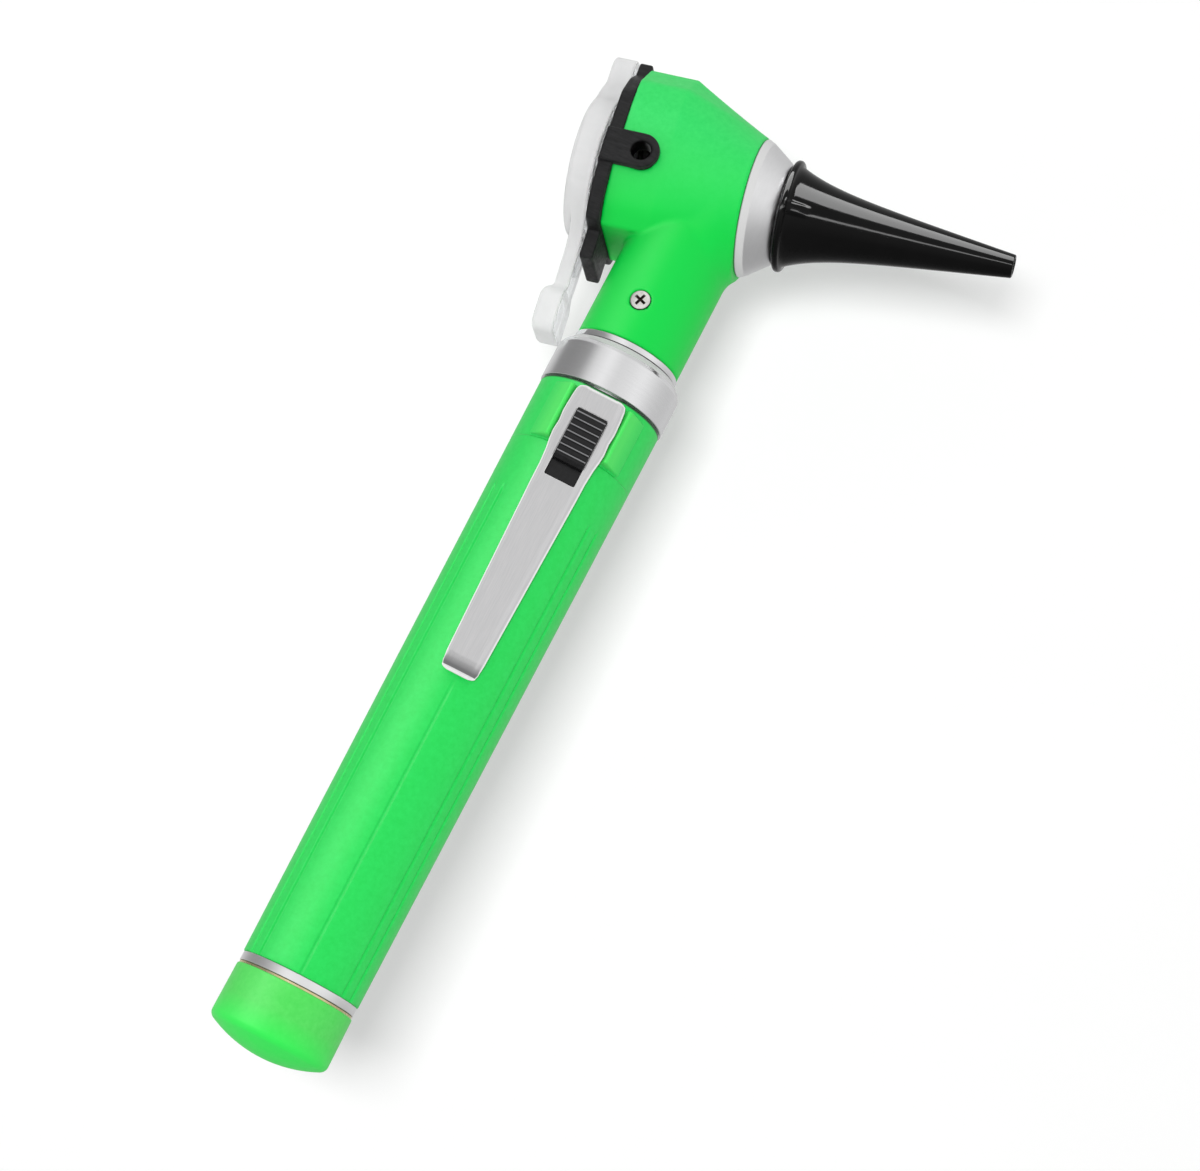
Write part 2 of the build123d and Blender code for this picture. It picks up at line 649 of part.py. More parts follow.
def rear_plate():
    """Black rear plate with the viewing window and the insufflation port."""
    back = CASE_BACK - PLATE_THICK
    plate = cross_plate(mirrored(plate_outline()), back, CASE_BACK)
    inner_y = -CASE_SIDE_HALF
    tab = block(back, PORT_ALONG, PORT_TAB_FACE_Y, inner_y, -PORT_TAB_HALF, PORT_TAB_HALF)
    tab += Pos(PORT_ALONG, 0, 0) * rod_y(PORT_TAB_HALF, PORT_TAB_FACE_Y, inner_y)
    tab += Pos(PORT_ALONG, 0, 0) * rod_y(PORT_R + PORT_WALL, inner_y, -CAVITY_R)
    plate += tab
    plate -= Pos(PORT_ALONG, 0, 0) * rod_y(PORT_R, -14, 0)
    plate -= rod_x(WINDOW_R, back - 1, CASE_BACK + 1)
    plate -= Pos(0, 0, PIVOT_HEIGHT) * rod_x(PIVOT_R - 0.2, back - 1, CASE_BACK)
    return on_head(plate)


def lens_seal():
    """Thin rubber ring between the plate and the closed lens."""
    face = CASE_BACK - PLATE_THICK
    ring = rod_x(SEAL_R, LENS_FRONT + RUN, face) - rod_x(WINDOW_R, LENS_FRONT - 1, face + 1)
    return on_head(ring)


def pivot_washer():
    """Spring washer that spaces the lens off the plate."""
    face = CASE_BACK - PLATE_THICK
    ring = rod_x(WASHER_R, LENS_FRONT + RUN, face) - rod_x(PIVOT_R + RUN, LENS_FRONT - 1, face + 1)
    return on_head(Pos(0, 0, PIVOT_HEIGHT) * ring)


def lens_pivot():
    """Rivet that the lens swings on, its head sunk in the lens's boss."""
    plate_back = CASE_BACK - PLATE_THICK
    head_front = BOSS_BACK + COUNTERBORE_DEPTH - RUN
    head = rod_x(RIVET_HEAD_R, BOSS_BACK + RUN, head_front)
    shank = rod_x(PIVOT_R, head_front, plate_back)
    tail = rod_x(PIVOT_R - 0.2, plate_back, CASE_BACK + PIVOT_TAIL)
    return on_head(Pos(0, 0, PIVOT_HEIGHT) * (head + shank + tail))


def lens_boss():
    """Rounded block above the lens disc that the rivet passes through."""
    boss = block(BOSS_BACK, LENS_FRONT, -BOSS_HALF, BOSS_HALF, LENS_HEIGHT, BOSS_TOP)
    return fillet(boss.edges().filter_by(Axis.X).sort_by(Axis.Z)[-2:], BOSS_CORNER)


def lens_thumb():
    """Stem and thumb paddle below the lens disc."""
    shoulder = [(STEM_HALF + 4.0, LENS_HEIGHT - 9.0), (STEM_HALF + 0.4, -13.5), (STEM_HALF, THUMB_TOP - 1)]
    stem = cross_plate(mirrored(shoulder), STEM_BACK, LENS_FRONT)
    paddle = block(THUMB_BACK, LENS_FRONT, -THUMB_HALF, THUMB_HALF, THUMB_BOTTOM, THUMB_TOP)
    paddle = fillet(paddle.edges().filter_by(Axis.X), THUMB_ROUND)
    paddle = fillet(paddle.edges().filter_by(Axis.Y).sort_by(Axis.Z)[:2].sort_by(Axis.X)[:1], THUMB_ROUND)
    return stem + paddle


def lens():
    """Clear magnifier with a pivot boss above and a thumb paddle below."""
    disc = Pos(0, 0, LENS_HEIGHT) * spin_x([
        (LENS_FRONT, 0), (LENS_FRONT, LENS_R), (LENS_BACK + LENS_BEVEL, LENS_R),
        (LENS_BACK, LENS_R - LENS_BEVEL), (LENS_BACK, 0),
    ])
    pivot = Pos(0, 0, PIVOT_HEIGHT)
    body = disc + lens_boss() + lens_thumb()
    body -= pivot * rod_x(PIVOT_R + RUN, LENS_BACK - 1, LENS_FRONT + 1)
    body -= pivot * rod_x(RIVET_HEAD_R + 3 * RUN, LENS_BACK - 1, BOSS_BACK + COUNTERBORE_DEPTH)
    return on_head(body)


def speculum():
    """Ear speculum: flange and a thin trumpet that narrows to the tip."""
    start = SPEC_START + SPEC_FLANGE
    flare = [(start, SPEC_BODY_R), *SPEC_FLARE, (SPEC_END, SPEC_TIP_R)]
    bore_flare = [(along, radius - SPEC_WALL) for along, radius in flare]
    outer = Spline(*flare)
    inner = Spline(*bore_flare)
    back_r = flare[0][1] - SPEC_WALL
    rim = Polyline(
        bore_flare[0], (SPEC_START, back_r), (SPEC_START, SPEC_FLANGE_R), (start, SPEC_FLANGE_R), flare[0]
    )
    tip = Line(flare[-1], bore_flare[-1])
    return on_head(revolve(Plane.XZ * make_face([rim, outer, tip, inner]), Axis.X))


# ---- write every piece --------------------------------------------------
PIECES = {
    "handle_tube": handle_tube,
    "top_collar": top_collar,
    "bottom_ring": bottom_ring,
    "end_cap": end_cap,
    "cap_insert": cap_insert,
    "battery_spring": battery_spring,
    "contact_strip": contact_strip,
    "contact_insulator": contact_insulator,
    "centre_contact": centre_contact,
    "contact_spring": contact_spring,
    "pocket_clip": pocket_clip,
    "switch_frame": switch_frame,
    "switch_slider": switch_slider,
    "switch_contact": switch_contact,
    "lamp_base": lamp_base,
    "lamp_insulator": lamp_insulator,
    "lamp_contact": lamp_contact,
    "lamp_bulb": lamp_bulb,
    "head_base": head_base,
    "head_housing": head_housing,
    "neck_screw": neck_screw,
    "light_guide": light_guide,
    "nose_cone": nose_cone,
    "nose_barrel": nose_barrel,
    "rear_plate": rear_plate,
    "lens_seal": lens_seal,
    "pivot_washer": pivot_washer,
    "lens_pivot": lens_pivot,
    "lens": lens,
    "speculum": speculum,
}


def write_parts():
    """Write one STEP file for each piece."""
    os.makedirs("parts", exist_ok=True)
    for name, make in PIECES.items():
        export_step(make(), f"parts/{name}.step")
    export_step(cell(CELL_Z0), "parts/battery_lower.step")
    export_step(cell(CELL_Z0 + CELL_LENGTH + 0.05), "parts/battery_upper.step")


write_parts()
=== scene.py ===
import json
import math

import bmesh
import bpy
import numpy as np
from mathutils import Matrix, Vector


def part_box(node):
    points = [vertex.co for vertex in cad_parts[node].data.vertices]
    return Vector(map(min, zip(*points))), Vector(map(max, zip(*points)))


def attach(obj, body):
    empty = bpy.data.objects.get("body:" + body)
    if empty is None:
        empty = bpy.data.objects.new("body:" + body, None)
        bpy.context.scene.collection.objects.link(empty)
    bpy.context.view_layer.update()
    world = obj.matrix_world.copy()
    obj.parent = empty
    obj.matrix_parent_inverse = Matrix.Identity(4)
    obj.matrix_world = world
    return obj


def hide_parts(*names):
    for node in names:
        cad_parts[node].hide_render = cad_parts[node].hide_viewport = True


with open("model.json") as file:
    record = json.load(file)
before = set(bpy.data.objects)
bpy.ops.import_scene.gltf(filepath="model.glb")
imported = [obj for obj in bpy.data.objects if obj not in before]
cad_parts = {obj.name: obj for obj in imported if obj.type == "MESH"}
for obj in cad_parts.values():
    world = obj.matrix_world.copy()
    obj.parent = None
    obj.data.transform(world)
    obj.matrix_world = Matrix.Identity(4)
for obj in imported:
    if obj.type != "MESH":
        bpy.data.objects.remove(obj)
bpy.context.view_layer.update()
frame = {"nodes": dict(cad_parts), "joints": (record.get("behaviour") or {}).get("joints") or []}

# All shapes below are worked out in millimetres and scaled to metres.
MM = 0.001

# ---- places taken from the frame ----
JOINTS = {joint["name"]: joint for joint in frame["joints"]}
OPTICAL = Vector(JOINTS["speculum_pull"]["axis"]).normalized()
HEAD_TILT = math.asin(OPTICAL.z)
CLIP_AXIS = Vector(JOINTS["clip_flex"]["axis"])
GRIP_TURN = math.atan2(-CLIP_AXIS.y, -CLIP_AXIS.x)
PIVOT = Vector(JOINTS["lens_swing"]["pos_m"]) / MM


def low(node):
    """Lowest corner of a CAD node, in millimetres."""
    return Vector(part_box(node)[0]) / MM


def high(node):
    """Highest corner of a CAD node, in millimetres."""
    return Vector(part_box(node)[1]) / MM


# The optical axis crosses the handle's axis at HEAD_Z. Places on the head are given along it and above it.
PIVOT_ALONG = -19.0
PIVOT_HEIGHT = 14.9
HEAD_Z = PIVOT.z - PIVOT_HEIGHT * math.cos(HEAD_TILT) - PIVOT_ALONG * math.sin(HEAD_TILT)
HANDLE_Z0 = low("handle_tube").z
HANDLE_Z1 = high("handle_tube").z
HANDLE_R0 = 9.5
HANDLE_R1 = 10.2
NECK_Z = low("head_housing").z
NECK_R = 8.65
PORT_ALONG = -10.2

TO_METRES = Matrix.Scale(MM, 4)
ON_HEAD = TO_METRES @ Matrix.Translation((0, 0, HEAD_Z)) @ Matrix.Rotation(-HEAD_TILT, 4, "Y")
ALONG_AXIS = ON_HEAD @ Matrix.Rotation(math.pi / 2, 4, "Y")
ON_GRIP = TO_METRES @ Matrix.Rotation(GRIP_TURN, 4, "Z")


# ---- fields: distances in millimetres, negative inside ----
def soft_min(a, b, width):
    """Union of two fields with a fillet."""
    share = np.clip(0.5 + 0.5 * (b - a) / width, 0, 1)
    return b + (a - b) * share - width * share * (1 - share)


def soft_max(a, b, width):
    """Overlap of two fields with a rounded edge."""
    return -soft_min(-a, -b, width)


def cut(a, b, width):
    """Field a with field b taken away, with a rounded edge."""
    return soft_max(a, -b, width)


def slab(value, start, end, width=0.3):
    """Between two planes, with softened corners."""
    return soft_max(start - value, value - end, width)


def convex(across, height, points, width):
    """Convex outline from its corners, listed clockwise, with rounded corners."""
    result = None
    for (x0, y0), (x1, y1) in zip(points, points[1:] + points[:1]):
        length = math.hypot(x1 - x0, y1 - y0)
        side = ((across - x0) * (y0 - y1) + (height - y0) * (x1 - x0)) / length
        result = side if result is None else soft_max(result, side, width)
    return result


def mirrored(points):
    """Clockwise outline from its right half, listed from top to bottom."""
    return points + [(-across, height) for across, height in reversed(points)]


# ---- mesh building ----
def put(name, vertices, faces, matrix, smooth=True):
    """New object from points in millimetres, placed by a matrix."""
    points = np.asarray(vertices, dtype=np.float64)
    placed = points @ np.array(matrix.to_3x3()).T + np.array(matrix.translation)
    mesh = bpy.data.meshes.new(name)
    mesh.from_pydata(placed.tolist(), [], [tuple(face) for face in faces])
    mesh.validate()
    if smooth:
        mesh.shade_smooth()
    mesh.update()
    piece = bpy.data.objects.new(name, mesh)
    bpy.context.scene.collection.objects.link(piece)
    return piece


def surface_net(name, field, start, end, cell, matrix):
    """Closed mesh of where a field is negative, pulled onto the field's zero."""
    axes = [np.arange(a - 1.5 * cell, b + 2.5 * cell, cell) for a, b in zip(start, end)]
    value = field(*np.meshgrid(*axes, indexing="ij"))
    shape = value.shape
    cells = tuple(size - 1 for size in shape)
    count = np.zeros(cells)
    total = np.zeros(cells + (3,))
    crossings = []
    for axis in range(3):
        one, two = (axis + 1) % 3, (axis + 2) % 3
        below = value[tuple(slice(0, -1) if a == axis else slice(None) for a in range(3))]
        above = value[tuple(slice(1, None) if a == axis else slice(None) for a in range(3))]
        crossed = (below < 0) != (above < 0)
        share = np.where(crossed, below / np.where(crossed, below - above, 1.0), 0.0)
        crossings.append((crossed, below < 0))
        for step_one in (0, 1):
            for step_two in (0, 1):
                window = [slice(None)] * 3
                window[one] = slice(step_one, shape[one] - 1 + step_one)
                window[two] = slice(step_two, shape[two] - 1 + step_two)
                hit = crossed[tuple(window)]
                count += hit
                total[..., axis] += share[tuple(window)]
                total[..., one] += hit * step_one
                total[..., two] += hit * step_two
    active = np.argwhere(count > 0)
    index = -np.ones(cells, dtype=np.int64)
    index[tuple(active.T)] = np.arange(len(active))
    offset = total[tuple(active.T)] / count[tuple(active.T)][:, None]
    origin = np.array([line[0] for line in axes])
    points = origin + cell * (active + offset)
    faces = []
    for axis, (crossed, solid_below) in enumerate(crossings):
        one, two = (axis + 1) % 3, (axis + 2) % 3
        edges = np.argwhere(crossed)
        inner = (edges[:, one] > 0) & (edges[:, one] < shape[one] - 1)
        inner &= (edges[:, two] > 0) & (edges[:, two] < shape[two] - 1)
        edges = edges[inner]
        ring = []
        for step_one, step_two in ((-1, -1), (0, -1), (0, 0), (-1, 0)):
            corner = edges.copy()
            corner[:, one] += step_one
            corner[:, two] += step_two
            ring.append(index[tuple(corner.T)])
        quads = np.stack(ring, axis=1)
        outward = solid_below[tuple(edges.T)]
        faces.append(np.where(outward[:, None], quads, quads[:, ::-1]))
    return put(name, settle(points, field, cell), np.concatenate(faces).tolist(), matrix)


def settle(points, field, cell):
    """Newton steps that pull points onto a field's zero surface."""
    reach = cell * 0.1
    for _ in range(3):
        value = field(*points.T)
        slope = np.empty_like(points)
        for axis in range(3):
            shift = np.zeros(3)
            shift[axis] = reach
            slope[:, axis] = (field(*(points + shift).T) - field(*(points - shift).T)) / (2 * reach)
        step = value / np.maximum((slope ** 2).sum(axis=1), 0.1)
        points = points - np.clip(step, -cell, cell)[:, None] * slope
    return points


def rounded(corners, radii, steps=5):
    """Outline with each corner turned into an arc."""
    path = []
    total = len(corners)
    for number, (corner, radius) in enumerate(zip(corners, radii)):
        here = Vector(corner)
        if radius == 0:
            path.append(tuple(here))
            continue
        before = (Vector(corners[number - 1]) - here).normalized()
        after = (Vector(corners[(number + 1) % total]) - here).normalized()
        half = before.angle(after) / 2
        centre = here + (before + after).normalized() * (radius / math.sin(half))
        first = here + before * (radius / math.tan(half)) - centre
        last = here + after * (radius / math.tan(half)) - centre
        sweep = first.angle(last)
        for step in range(steps + 1):
            share = step / steps
            spoke = first * math.sin((1 - share) * sweep) + last * math.sin(share * sweep)
            path.append(tuple(centre + spoke / math.sin(sweep)))
    return path


def ring_faces(rows, count):
    """Faces between rows of points that run round an axis, closed from the last row to the first."""
    here = np.arange(count)
    across = (here + 1) % count
    faces = []
    for row in range(rows):
        below, above = row * count, (row + 1) % rows * count
        faces.append(np.stack((below + here, below + across, above + across, above + here), 1))
    return np.concatenate(faces).tolist()


def lathe(name, profile, matrix, segments=160, bump=None):
    """Closed ring turned about the local Z axis from a loop of (radius, z)."""
    turns = np.linspace(0, 2 * math.pi, segments, endpoint=False)
    points = []
    for radius, z in profile:
        for turn in turns:
            extra = bump(turn, radius, z) if bump else 0.0
            points.append(((radius + extra) * math.cos(turn), (radius + extra) * math.sin(turn), z))
    piece = put(name, points, ring_faces(len(profile), segments), matrix)
    tidy_mesh(piece)
    return piece


def tidy_mesh(piece):
    """Merge the points on an axis and turn the faces outwards."""
    work = bmesh.new()
    work.from_mesh(piece.data)
    bmesh.ops.remove_doubles(work, verts=work.verts, dist=1e-7)
    bmesh.ops.dissolve_degenerate(work, edges=work.edges, dist=1e-8)
    bmesh.ops.recalc_face_normals(work, faces=work.faces)
    work.to_mesh(piece.data)
    work.free()
    piece.data.shade_smooth()
    even = piece.modifiers.new("even_shading", "WEIGHTED_NORMAL")
    even.weight = 100


# ---- materials ----
def linear(red, green, blue):
    """Linear colour from display values between 0 and 255."""
    result = []
    for value in (red, green, blue):
        share = value / 255
        result.append(share / 12.92 if share <= 0.04045 else ((share + 0.055) / 1.055) ** 2.4)
    return (*result, 1.0)


def grey(level):
    """Neutral linear colour."""
    return (level, level, level, 1.0)


def dimmed(tone, share):
    """A colour with its brightness scaled."""
    return (*(value * share for value in tone[:3]), 1.0)


class Graph:
    """Adds and links the nodes of a material or of the world."""

    def __init__(self, tree):
        self.nodes = tree.nodes
        self.links = tree.links

    def feed(self, target, value):
        """Link a socket to an input, or give the input a plain value."""
        if isinstance(value, bpy.types.NodeSocket):
            self.links.new(value, target)
        else:
            target.default_value = value

    def add(self, kind, inputs=None, **settings):
        """New node with its settings made and its inputs fed."""
        node = self.nodes.new(kind)
        for key, value in settings.items():
            setattr(node, key, value)
        for key, value in (inputs or {}).items():
            self.feed(node.inputs[key], value)
        return node

    def maths(self, operation, *values):
        """Number worked out from numbers."""
        return self.add("ShaderNodeMath", dict(enumerate(values)), operation=operation).outputs[0]

    def vector_maths(self, operation, *values):
        """Vector worked out from vectors."""
        node = self.add("ShaderNodeVectorMath", dict(enumerate(values)), operation=operation)
        return node.outputs["Vector"]

    def measure(self, operation, *values):
        """Number worked out from vectors."""
        node = self.add("ShaderNodeVectorMath", dict(enumerate(values)), operation=operation)
        return node.outputs["Value"]

    def ranged(self, value, low_out, high_out, low_in=0.3, high_in=0.7):
        """Number moved from one range to another."""
        limits = {"From Min": low_in, "From Max": high_in, "To Min": low_out, "To Max": high_out}
        return self.add("ShaderNodeMapRange", {"Value": value, **limits}).outputs["Result"]

    def blend(self, share, first, second):
        """Mix of two shaders."""
        return self.add("ShaderNodeMixShader", {0: share, 1: first, 2: second}).outputs[0]


class Finish(Graph):
    """A node material with what most surfaces share."""

    def __init__(self, name):
        self.material = bpy.data.materials.new(name)
        self.material.use_nodes = True
        super().__init__(self.material.node_tree)
        self.shader = self.nodes["Principled BSDF"]
        self.place = self.add("ShaderNodeTexCoord").outputs["Object"]

    def set(self, **values):
        """Feed the main shader's inputs."""
        for key, value in values.items():
            self.feed(self.shader.inputs[key.replace("_", " ")], value)

    def show(self, shader):
        """Use a shader in place of the main one."""
        self.links.new(shader, self.nodes["Material Output"].inputs["Surface"])

    def stretched(self, scale, turn=(0, 0, 0)):
        """Object coordinates with their own scale on each axis."""
        inputs = {"Vector": self.place, "Scale": scale, "Rotation": turn}
        return self.add("ShaderNodeMapping", inputs).outputs["Vector"]

    def noise(self, scale, detail=3.0, roughness=0.55, vector=None):
        """Soft noise over the object's coordinates or over other ones."""
        inputs = {"Vector": vector or self.place, "Scale": scale, "Detail": detail, "Roughness": roughness}
        return self.add("ShaderNodeTexNoise", inputs).outputs["Fac"]

    def mix(self, share, first, second):
        """Mix of two colours."""
        node = self.add("ShaderNodeMix", {"Factor": share, "A": first, "B": second}, data_type="RGBA")
        return node.outputs["Result"]

    def mottled(self, noise, first, second):
        """Colour that wanders between two tones."""
        return self.mix(self.ranged(noise, 0, 1), first, second)

    def rough(self, scale, low_value, high_value, detail=3.0):
        """Roughness that wanders between two values."""
        self.set(Roughness=self.ranged(self.noise(scale, detail), low_value, high_value))

    def bump(self, height, distance, strength=1.0):
        """Relief of some millimetres, on top of the relief that is there."""
        inputs = {"Height": height, "Distance": distance * MM, "Strength": strength}
        node = self.add("ShaderNodeBump", inputs)
        previous = self.shader.inputs["Normal"].links
        if previous:
            self.links.new(previous[0].from_socket, node.inputs["Normal"])
        self.links.new(node.outputs["Normal"], self.shader.inputs["Normal"])

    def neutral_spill(self, colour):
        """Throw less of the surface's own colour onto what stands near it."""
        path = self.add("ShaderNodeLightPath").outputs
        either = self.maths("MAXIMUM", path["Is Diffuse Ray"], path["Is Glossy Ray"])
        return self.mix(self.ranged(either, 0.0, 0.75, 0.0, 1.0), colour, (0.3, 0.37, 0.31, 1))

    def off_optical_axis(self):
        """Distance from the optical axis."""
        offset = self.vector_maths("SUBTRACT", self.place, (0, 0, HEAD_Z * MM))
        return self.measure("LENGTH", self.vector_maths("CROSS_PRODUCT", offset, OPTICAL))

    def away_from(self, point, keep):
        """Distance from a point given in millimetres, counted only along the kept directions."""
        offset = self.vector_maths("SUBTRACT", self.place, [value * MM for value in point])
        return self.measure("LENGTH", self.vector_maths("MULTIPLY", offset, keep))

    def coordinate(self, axis):
        """One coordinate of the surface point."""
        return self.add("ShaderNodeSeparateXYZ", {0: self.place}).outputs[axis]

    def beyond(self, value, start, end):
        """From 0 at one value, in millimetres, to 1 at the other."""
        return self.ranged(value, 0.0, 1.0, start * MM, end * MM)

    def both(self, first, second):
        """Share of the surface that is in both of two shares."""
        return self.maths("MULTIPLY", first, second)

    def seen_from(self, space, vector, kind, own_space):
        """Vector carried from its own space to another one."""
        settings = {"vector_type": kind, "convert_from": own_space, "convert_to": space}
        return self.add("ShaderNodeVectorTransform", {0: vector}, **settings).outputs[0]

    def cosine_to(self, direction, side):
        """Cosine of the angle between a surface direction, Normal or True Normal, and a fixed one."""
        normal = self.add("ShaderNodeNewGeometry").outputs[side]
        return self.measure("DOT_PRODUCT", self.seen_from("OBJECT", normal, "NORMAL", "WORLD"), direction)


def green_plastic(name, deep, pale, tones):
    """Bright green moulded plastic: satin, faintly mottled, softly grained."""
    look = Finish(name)
    colour = tones(look, look.mottled(look.noise(1100, 5.0, 0.65), deep, pale))
    look.set(Base_Color=look.neutral_spill(colour))
    look.rough(900, 0.4, 0.48)
    look.bump(look.noise(2200, 4.0, 0.6), 0.008, 0.4)
    look.bump(look.noise(300, 2.0), 0.03, 0.2)
    look.set(Subsurface_Weight=0.06, Subsurface_Scale=0.003, Subsurface_Radius=(0.25, 1.0, 0.35))
    return look.material


def turned_metal(name, tone, rough_low, rough_high, scale, ring_depth=0.0012, rim=None):
    """Metal with fine turning marks that run round its axis, and a painted highlight on a rim where asked.
    """
    look = Finish(name)
    rings = look.noise(1.0, 3.0, 0.7, look.stretched(scale))
    face = look.mottled(rings, tone, dimmed(tone, 0.96))
    look.set(Metallic=1.0)
    if rim:
        # Painted highlight: the rim turns pale grey and much less metallic.
        rim_highlight = rim(look)
        face = look.mix(rim_highlight, face, grey(0.67))
        look.set(Metallic=look.ranged(rim_highlight, 1.0, 0.15, 0.0, 1.0))
    look.set(Base_Color=face)
    look.rough(400, rough_low, rough_high, 2.0)
    look.bump(rings, ring_depth)
    return look.material


def plain(name, first, second, scale, rough, grain=0.0, **inputs):
    """Mottled surface with uneven roughness, and a fine grain where asked."""
    look = Finish(name)
    look.set(Base_Color=look.mottled(look.noise(scale), first, second), **inputs)
    look.rough(*rough)
    if grain:
        look.bump(look.noise(2400), grain, 0.5)
    return look.material


def fit(piece, node, body, material):
    """Dress a finished piece and let it stand for its CAD node on its body."""
    piece.data.materials.clear()
    piece.data.materials.append(material)
    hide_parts(node)
    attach(piece, body)


# ---- handle ----
GROOVES = [math.radians(a) for a in (-59.0, -46.0, 0.0, 46.0, 59.0)]
GROOVE_HALF = 0.32
GROOVE_DEPTH = 0.34
GROOVE_TOP = 93.0
CENTRE_GROOVE_TOP = 60.5
BORE_R = 7.55
SEAT_HALF = 3.5
SEAT_Y = 9.55
SEAT_Z = 93.4
LUG_FROM = math.radians(23.2)
LUG_TO = math.radians(46.5)
LUG_CREST = 11.08
LUG_FACET = (10.32, math.radians(57.7))
# Radii over which the painted highlight on the lugs fades in.
LUG_HIGHLIGHT_R = (10.3, 11.5)
LUG_Z0 = 101.3
LUG_Z1 = 110.85
COARSE_TO_Z = 82.0
FINE_FROM_Z = 101.2


def smooth_step(value):
    """Ease from 0 to 1."""
    share = np.clip(value, 0, 1)
    return share * share * (3 - 2 * share)


def turned_away(turn, angle):
    """Angle between two turns, the short way round."""
    return np.abs((turn - angle + math.pi) % (2 * math.pi) - math.pi)


def handle_surface(turn, z):
    """Outer radius of the handle at an angle from the clip's centre line."""
    radius = HANDLE_R0 + (HANDLE_R1 - HANDLE_R0) * (z - HANDLE_Z0) / (HANDLE_Z1 - HANDLE_Z0)
    for back in (0, math.pi):
        for angle in GROOVES:
            away = turned_away(turn, angle + back) * radius
            top, full = (CENTRE_GROOVE_TOP, GROOVE_DEPTH / 2) if angle == 0 else (GROOVE_TOP, GROOVE_DEPTH)
            depth = full * smooth_step((top - z) / 1.6)
            radius = radius - depth * smooth_step(1.25 - away / GROOVE_HALF * 1.1)
    side = np.abs(turn)
    edge = np.cos(np.clip(side, 0, 1.3))
    slope = LUG_FACET[0] / np.cos(np.clip(side - LUG_FACET[1], -1.2, 0))
    lug = soft_min(LUG_CREST / edge, slope, 0.12)
    wall = smooth_step((side - LUG_FROM + 0.004) / 0.008) * smooth_step((LUG_TO - side) / 0.02)
    ends = smooth_step((z - LUG_Z0) / 0.3) * smooth_step((LUG_Z1 - z) / 0.3)
    outer = radius + np.maximum(lug - radius, 0) * wall * ends
    in_seat = (side < math.asin(SEAT_HALF / 10)) & (z > SEAT_Z)
    return np.where(in_seat, np.minimum(outer, SEAT_Y / edge), outer)


def grip_tones(look, colour):
    """Painted highlight on the lugs beside the clip and painted shade on the rim under the collar."""
    height = look.coordinate("Z")
    # Painted highlight: a paler green on the lugs' raised faces.
    proud_highlight = look.beyond(look.away_from((0, 0, 0), (1, 1, 0)), *LUG_HIGHLIGHT_R)
    lugs = look.both(proud_highlight, look.beyond(height, LUG_Z0 - 0.1, LUG_Z0 + 0.1))
    colour = look.mix(lugs, colour, linear(66, 222, 90))
    # Painted shade: a dark green band on the handle just under the collar.
    return look.mix(look.beyond(height, HANDLE_Z1 - 0.62, HANDLE_Z1 - 0.42), colour, linear(8, 74, 30))


def handle_tube():
    """Tapered handle: one grid of outer points, closed over its bore."""
    turns = np.linspace(-math.pi, math.pi, 900, endpoint=False)
    lower = np.arange(HANDLE_Z0 + 0.25, COARSE_TO_Z, 1.5)
    upper = np.arange(COARSE_TO_Z, FINE_FROM_Z, 0.2)
    lugs = np.arange(FINE_FROM_Z, HANDLE_Z1 - 0.3, 0.1)
    ends = ([HANDLE_Z0, HANDLE_Z0 + 0.1], [HANDLE_Z1 - 0.28, HANDLE_Z1 - 0.18])
    levels = np.concatenate((ends[0], lower, upper, lugs, ends[1]))
    inset = np.zeros(len(levels))
    inset[0] = inset[-1] = 0.18
    inset[1] = inset[-2] = 0.04
    around = np.stack((np.sin(turns), -np.cos(turns), np.zeros_like(turns)), 1)
    rows = []
    for level, step in zip(levels, inset):
        rows.append(around * (handle_surface(turns, level) - step)[:, None] + (0, 0, level))
    for level in (levels[-1], levels[0]):
        rows.append(around * BORE_R + (0, 0, level))
    faces = ring_faces(len(rows), len(turns))
    piece = put("handle_tube_shell", np.concatenate(rows), faces, ON_GRIP)
    fit(piece, "handle_tube", "handle", GREEN)


def collar_rim_highlight(look):
    """Where the collar's top chamfer gets a painted highlight."""
    return look.beyond(look.coordinate("Z"), HANDLE_Z1 + 6.72, HANDLE_Z1 + 6.95)


def top_collar():
    """Silver collar with a rounded shoulder and a bevelled rim."""
    z0 = HANDLE_Z1
    top = high("top_collar").z
    corners = [
        (8.9, z0 + 0.05), (10.4, z0 + 0.05), (10.4, z0 + 6.15), (10.02, z0 + 6.85), (9.05, top),
        (8.9, top), (8.9, top - 0.4), (7.06, top - 0.4), (7.06, z0 + 0.7), (7.5, z0 + 0.7),
        (7.5, z0 - 5.5), (8.6, z0 - 5.5),
    ]
    radii = [0, 0.12, 0.7, 0.3, 0.05, 0, 0, 0.1, 0, 0, 0.1, 0.1]
    piece = lathe("top_collar_turned", rounded(corners, radii), TO_METRES, 200)
    fit(piece, "top_collar", "handle", SATIN_UPRIGHT)


def bottom_ring():
    """Thin bright ring with its sleeve."""
    z0 = low("bottom_ring").z
    corners = [
        (8.06, z0), (9.38, z0), (9.38, z0 + 1.36), (8.65, z0 + 1.36), (8.65, z0 + 10.6), (8.06, z0 + 10.6),
    ]
    piece = lathe("bottom_ring_turned", rounded(corners, [0.05, 0.12, 0.12, 0, 0.1, 0.1]), TO_METRES)
    fit(piece, "bottom_ring", "handle", SATIN_RING)


def cap_tones(look, colour):
    """Painted shade: a deeper, more saturated green on the dome than on the cap's sides."""
    return look.mix(look.beyond(look.coordinate("Z"), 6.5, 1.5), colour, linear(24, 234, 78))


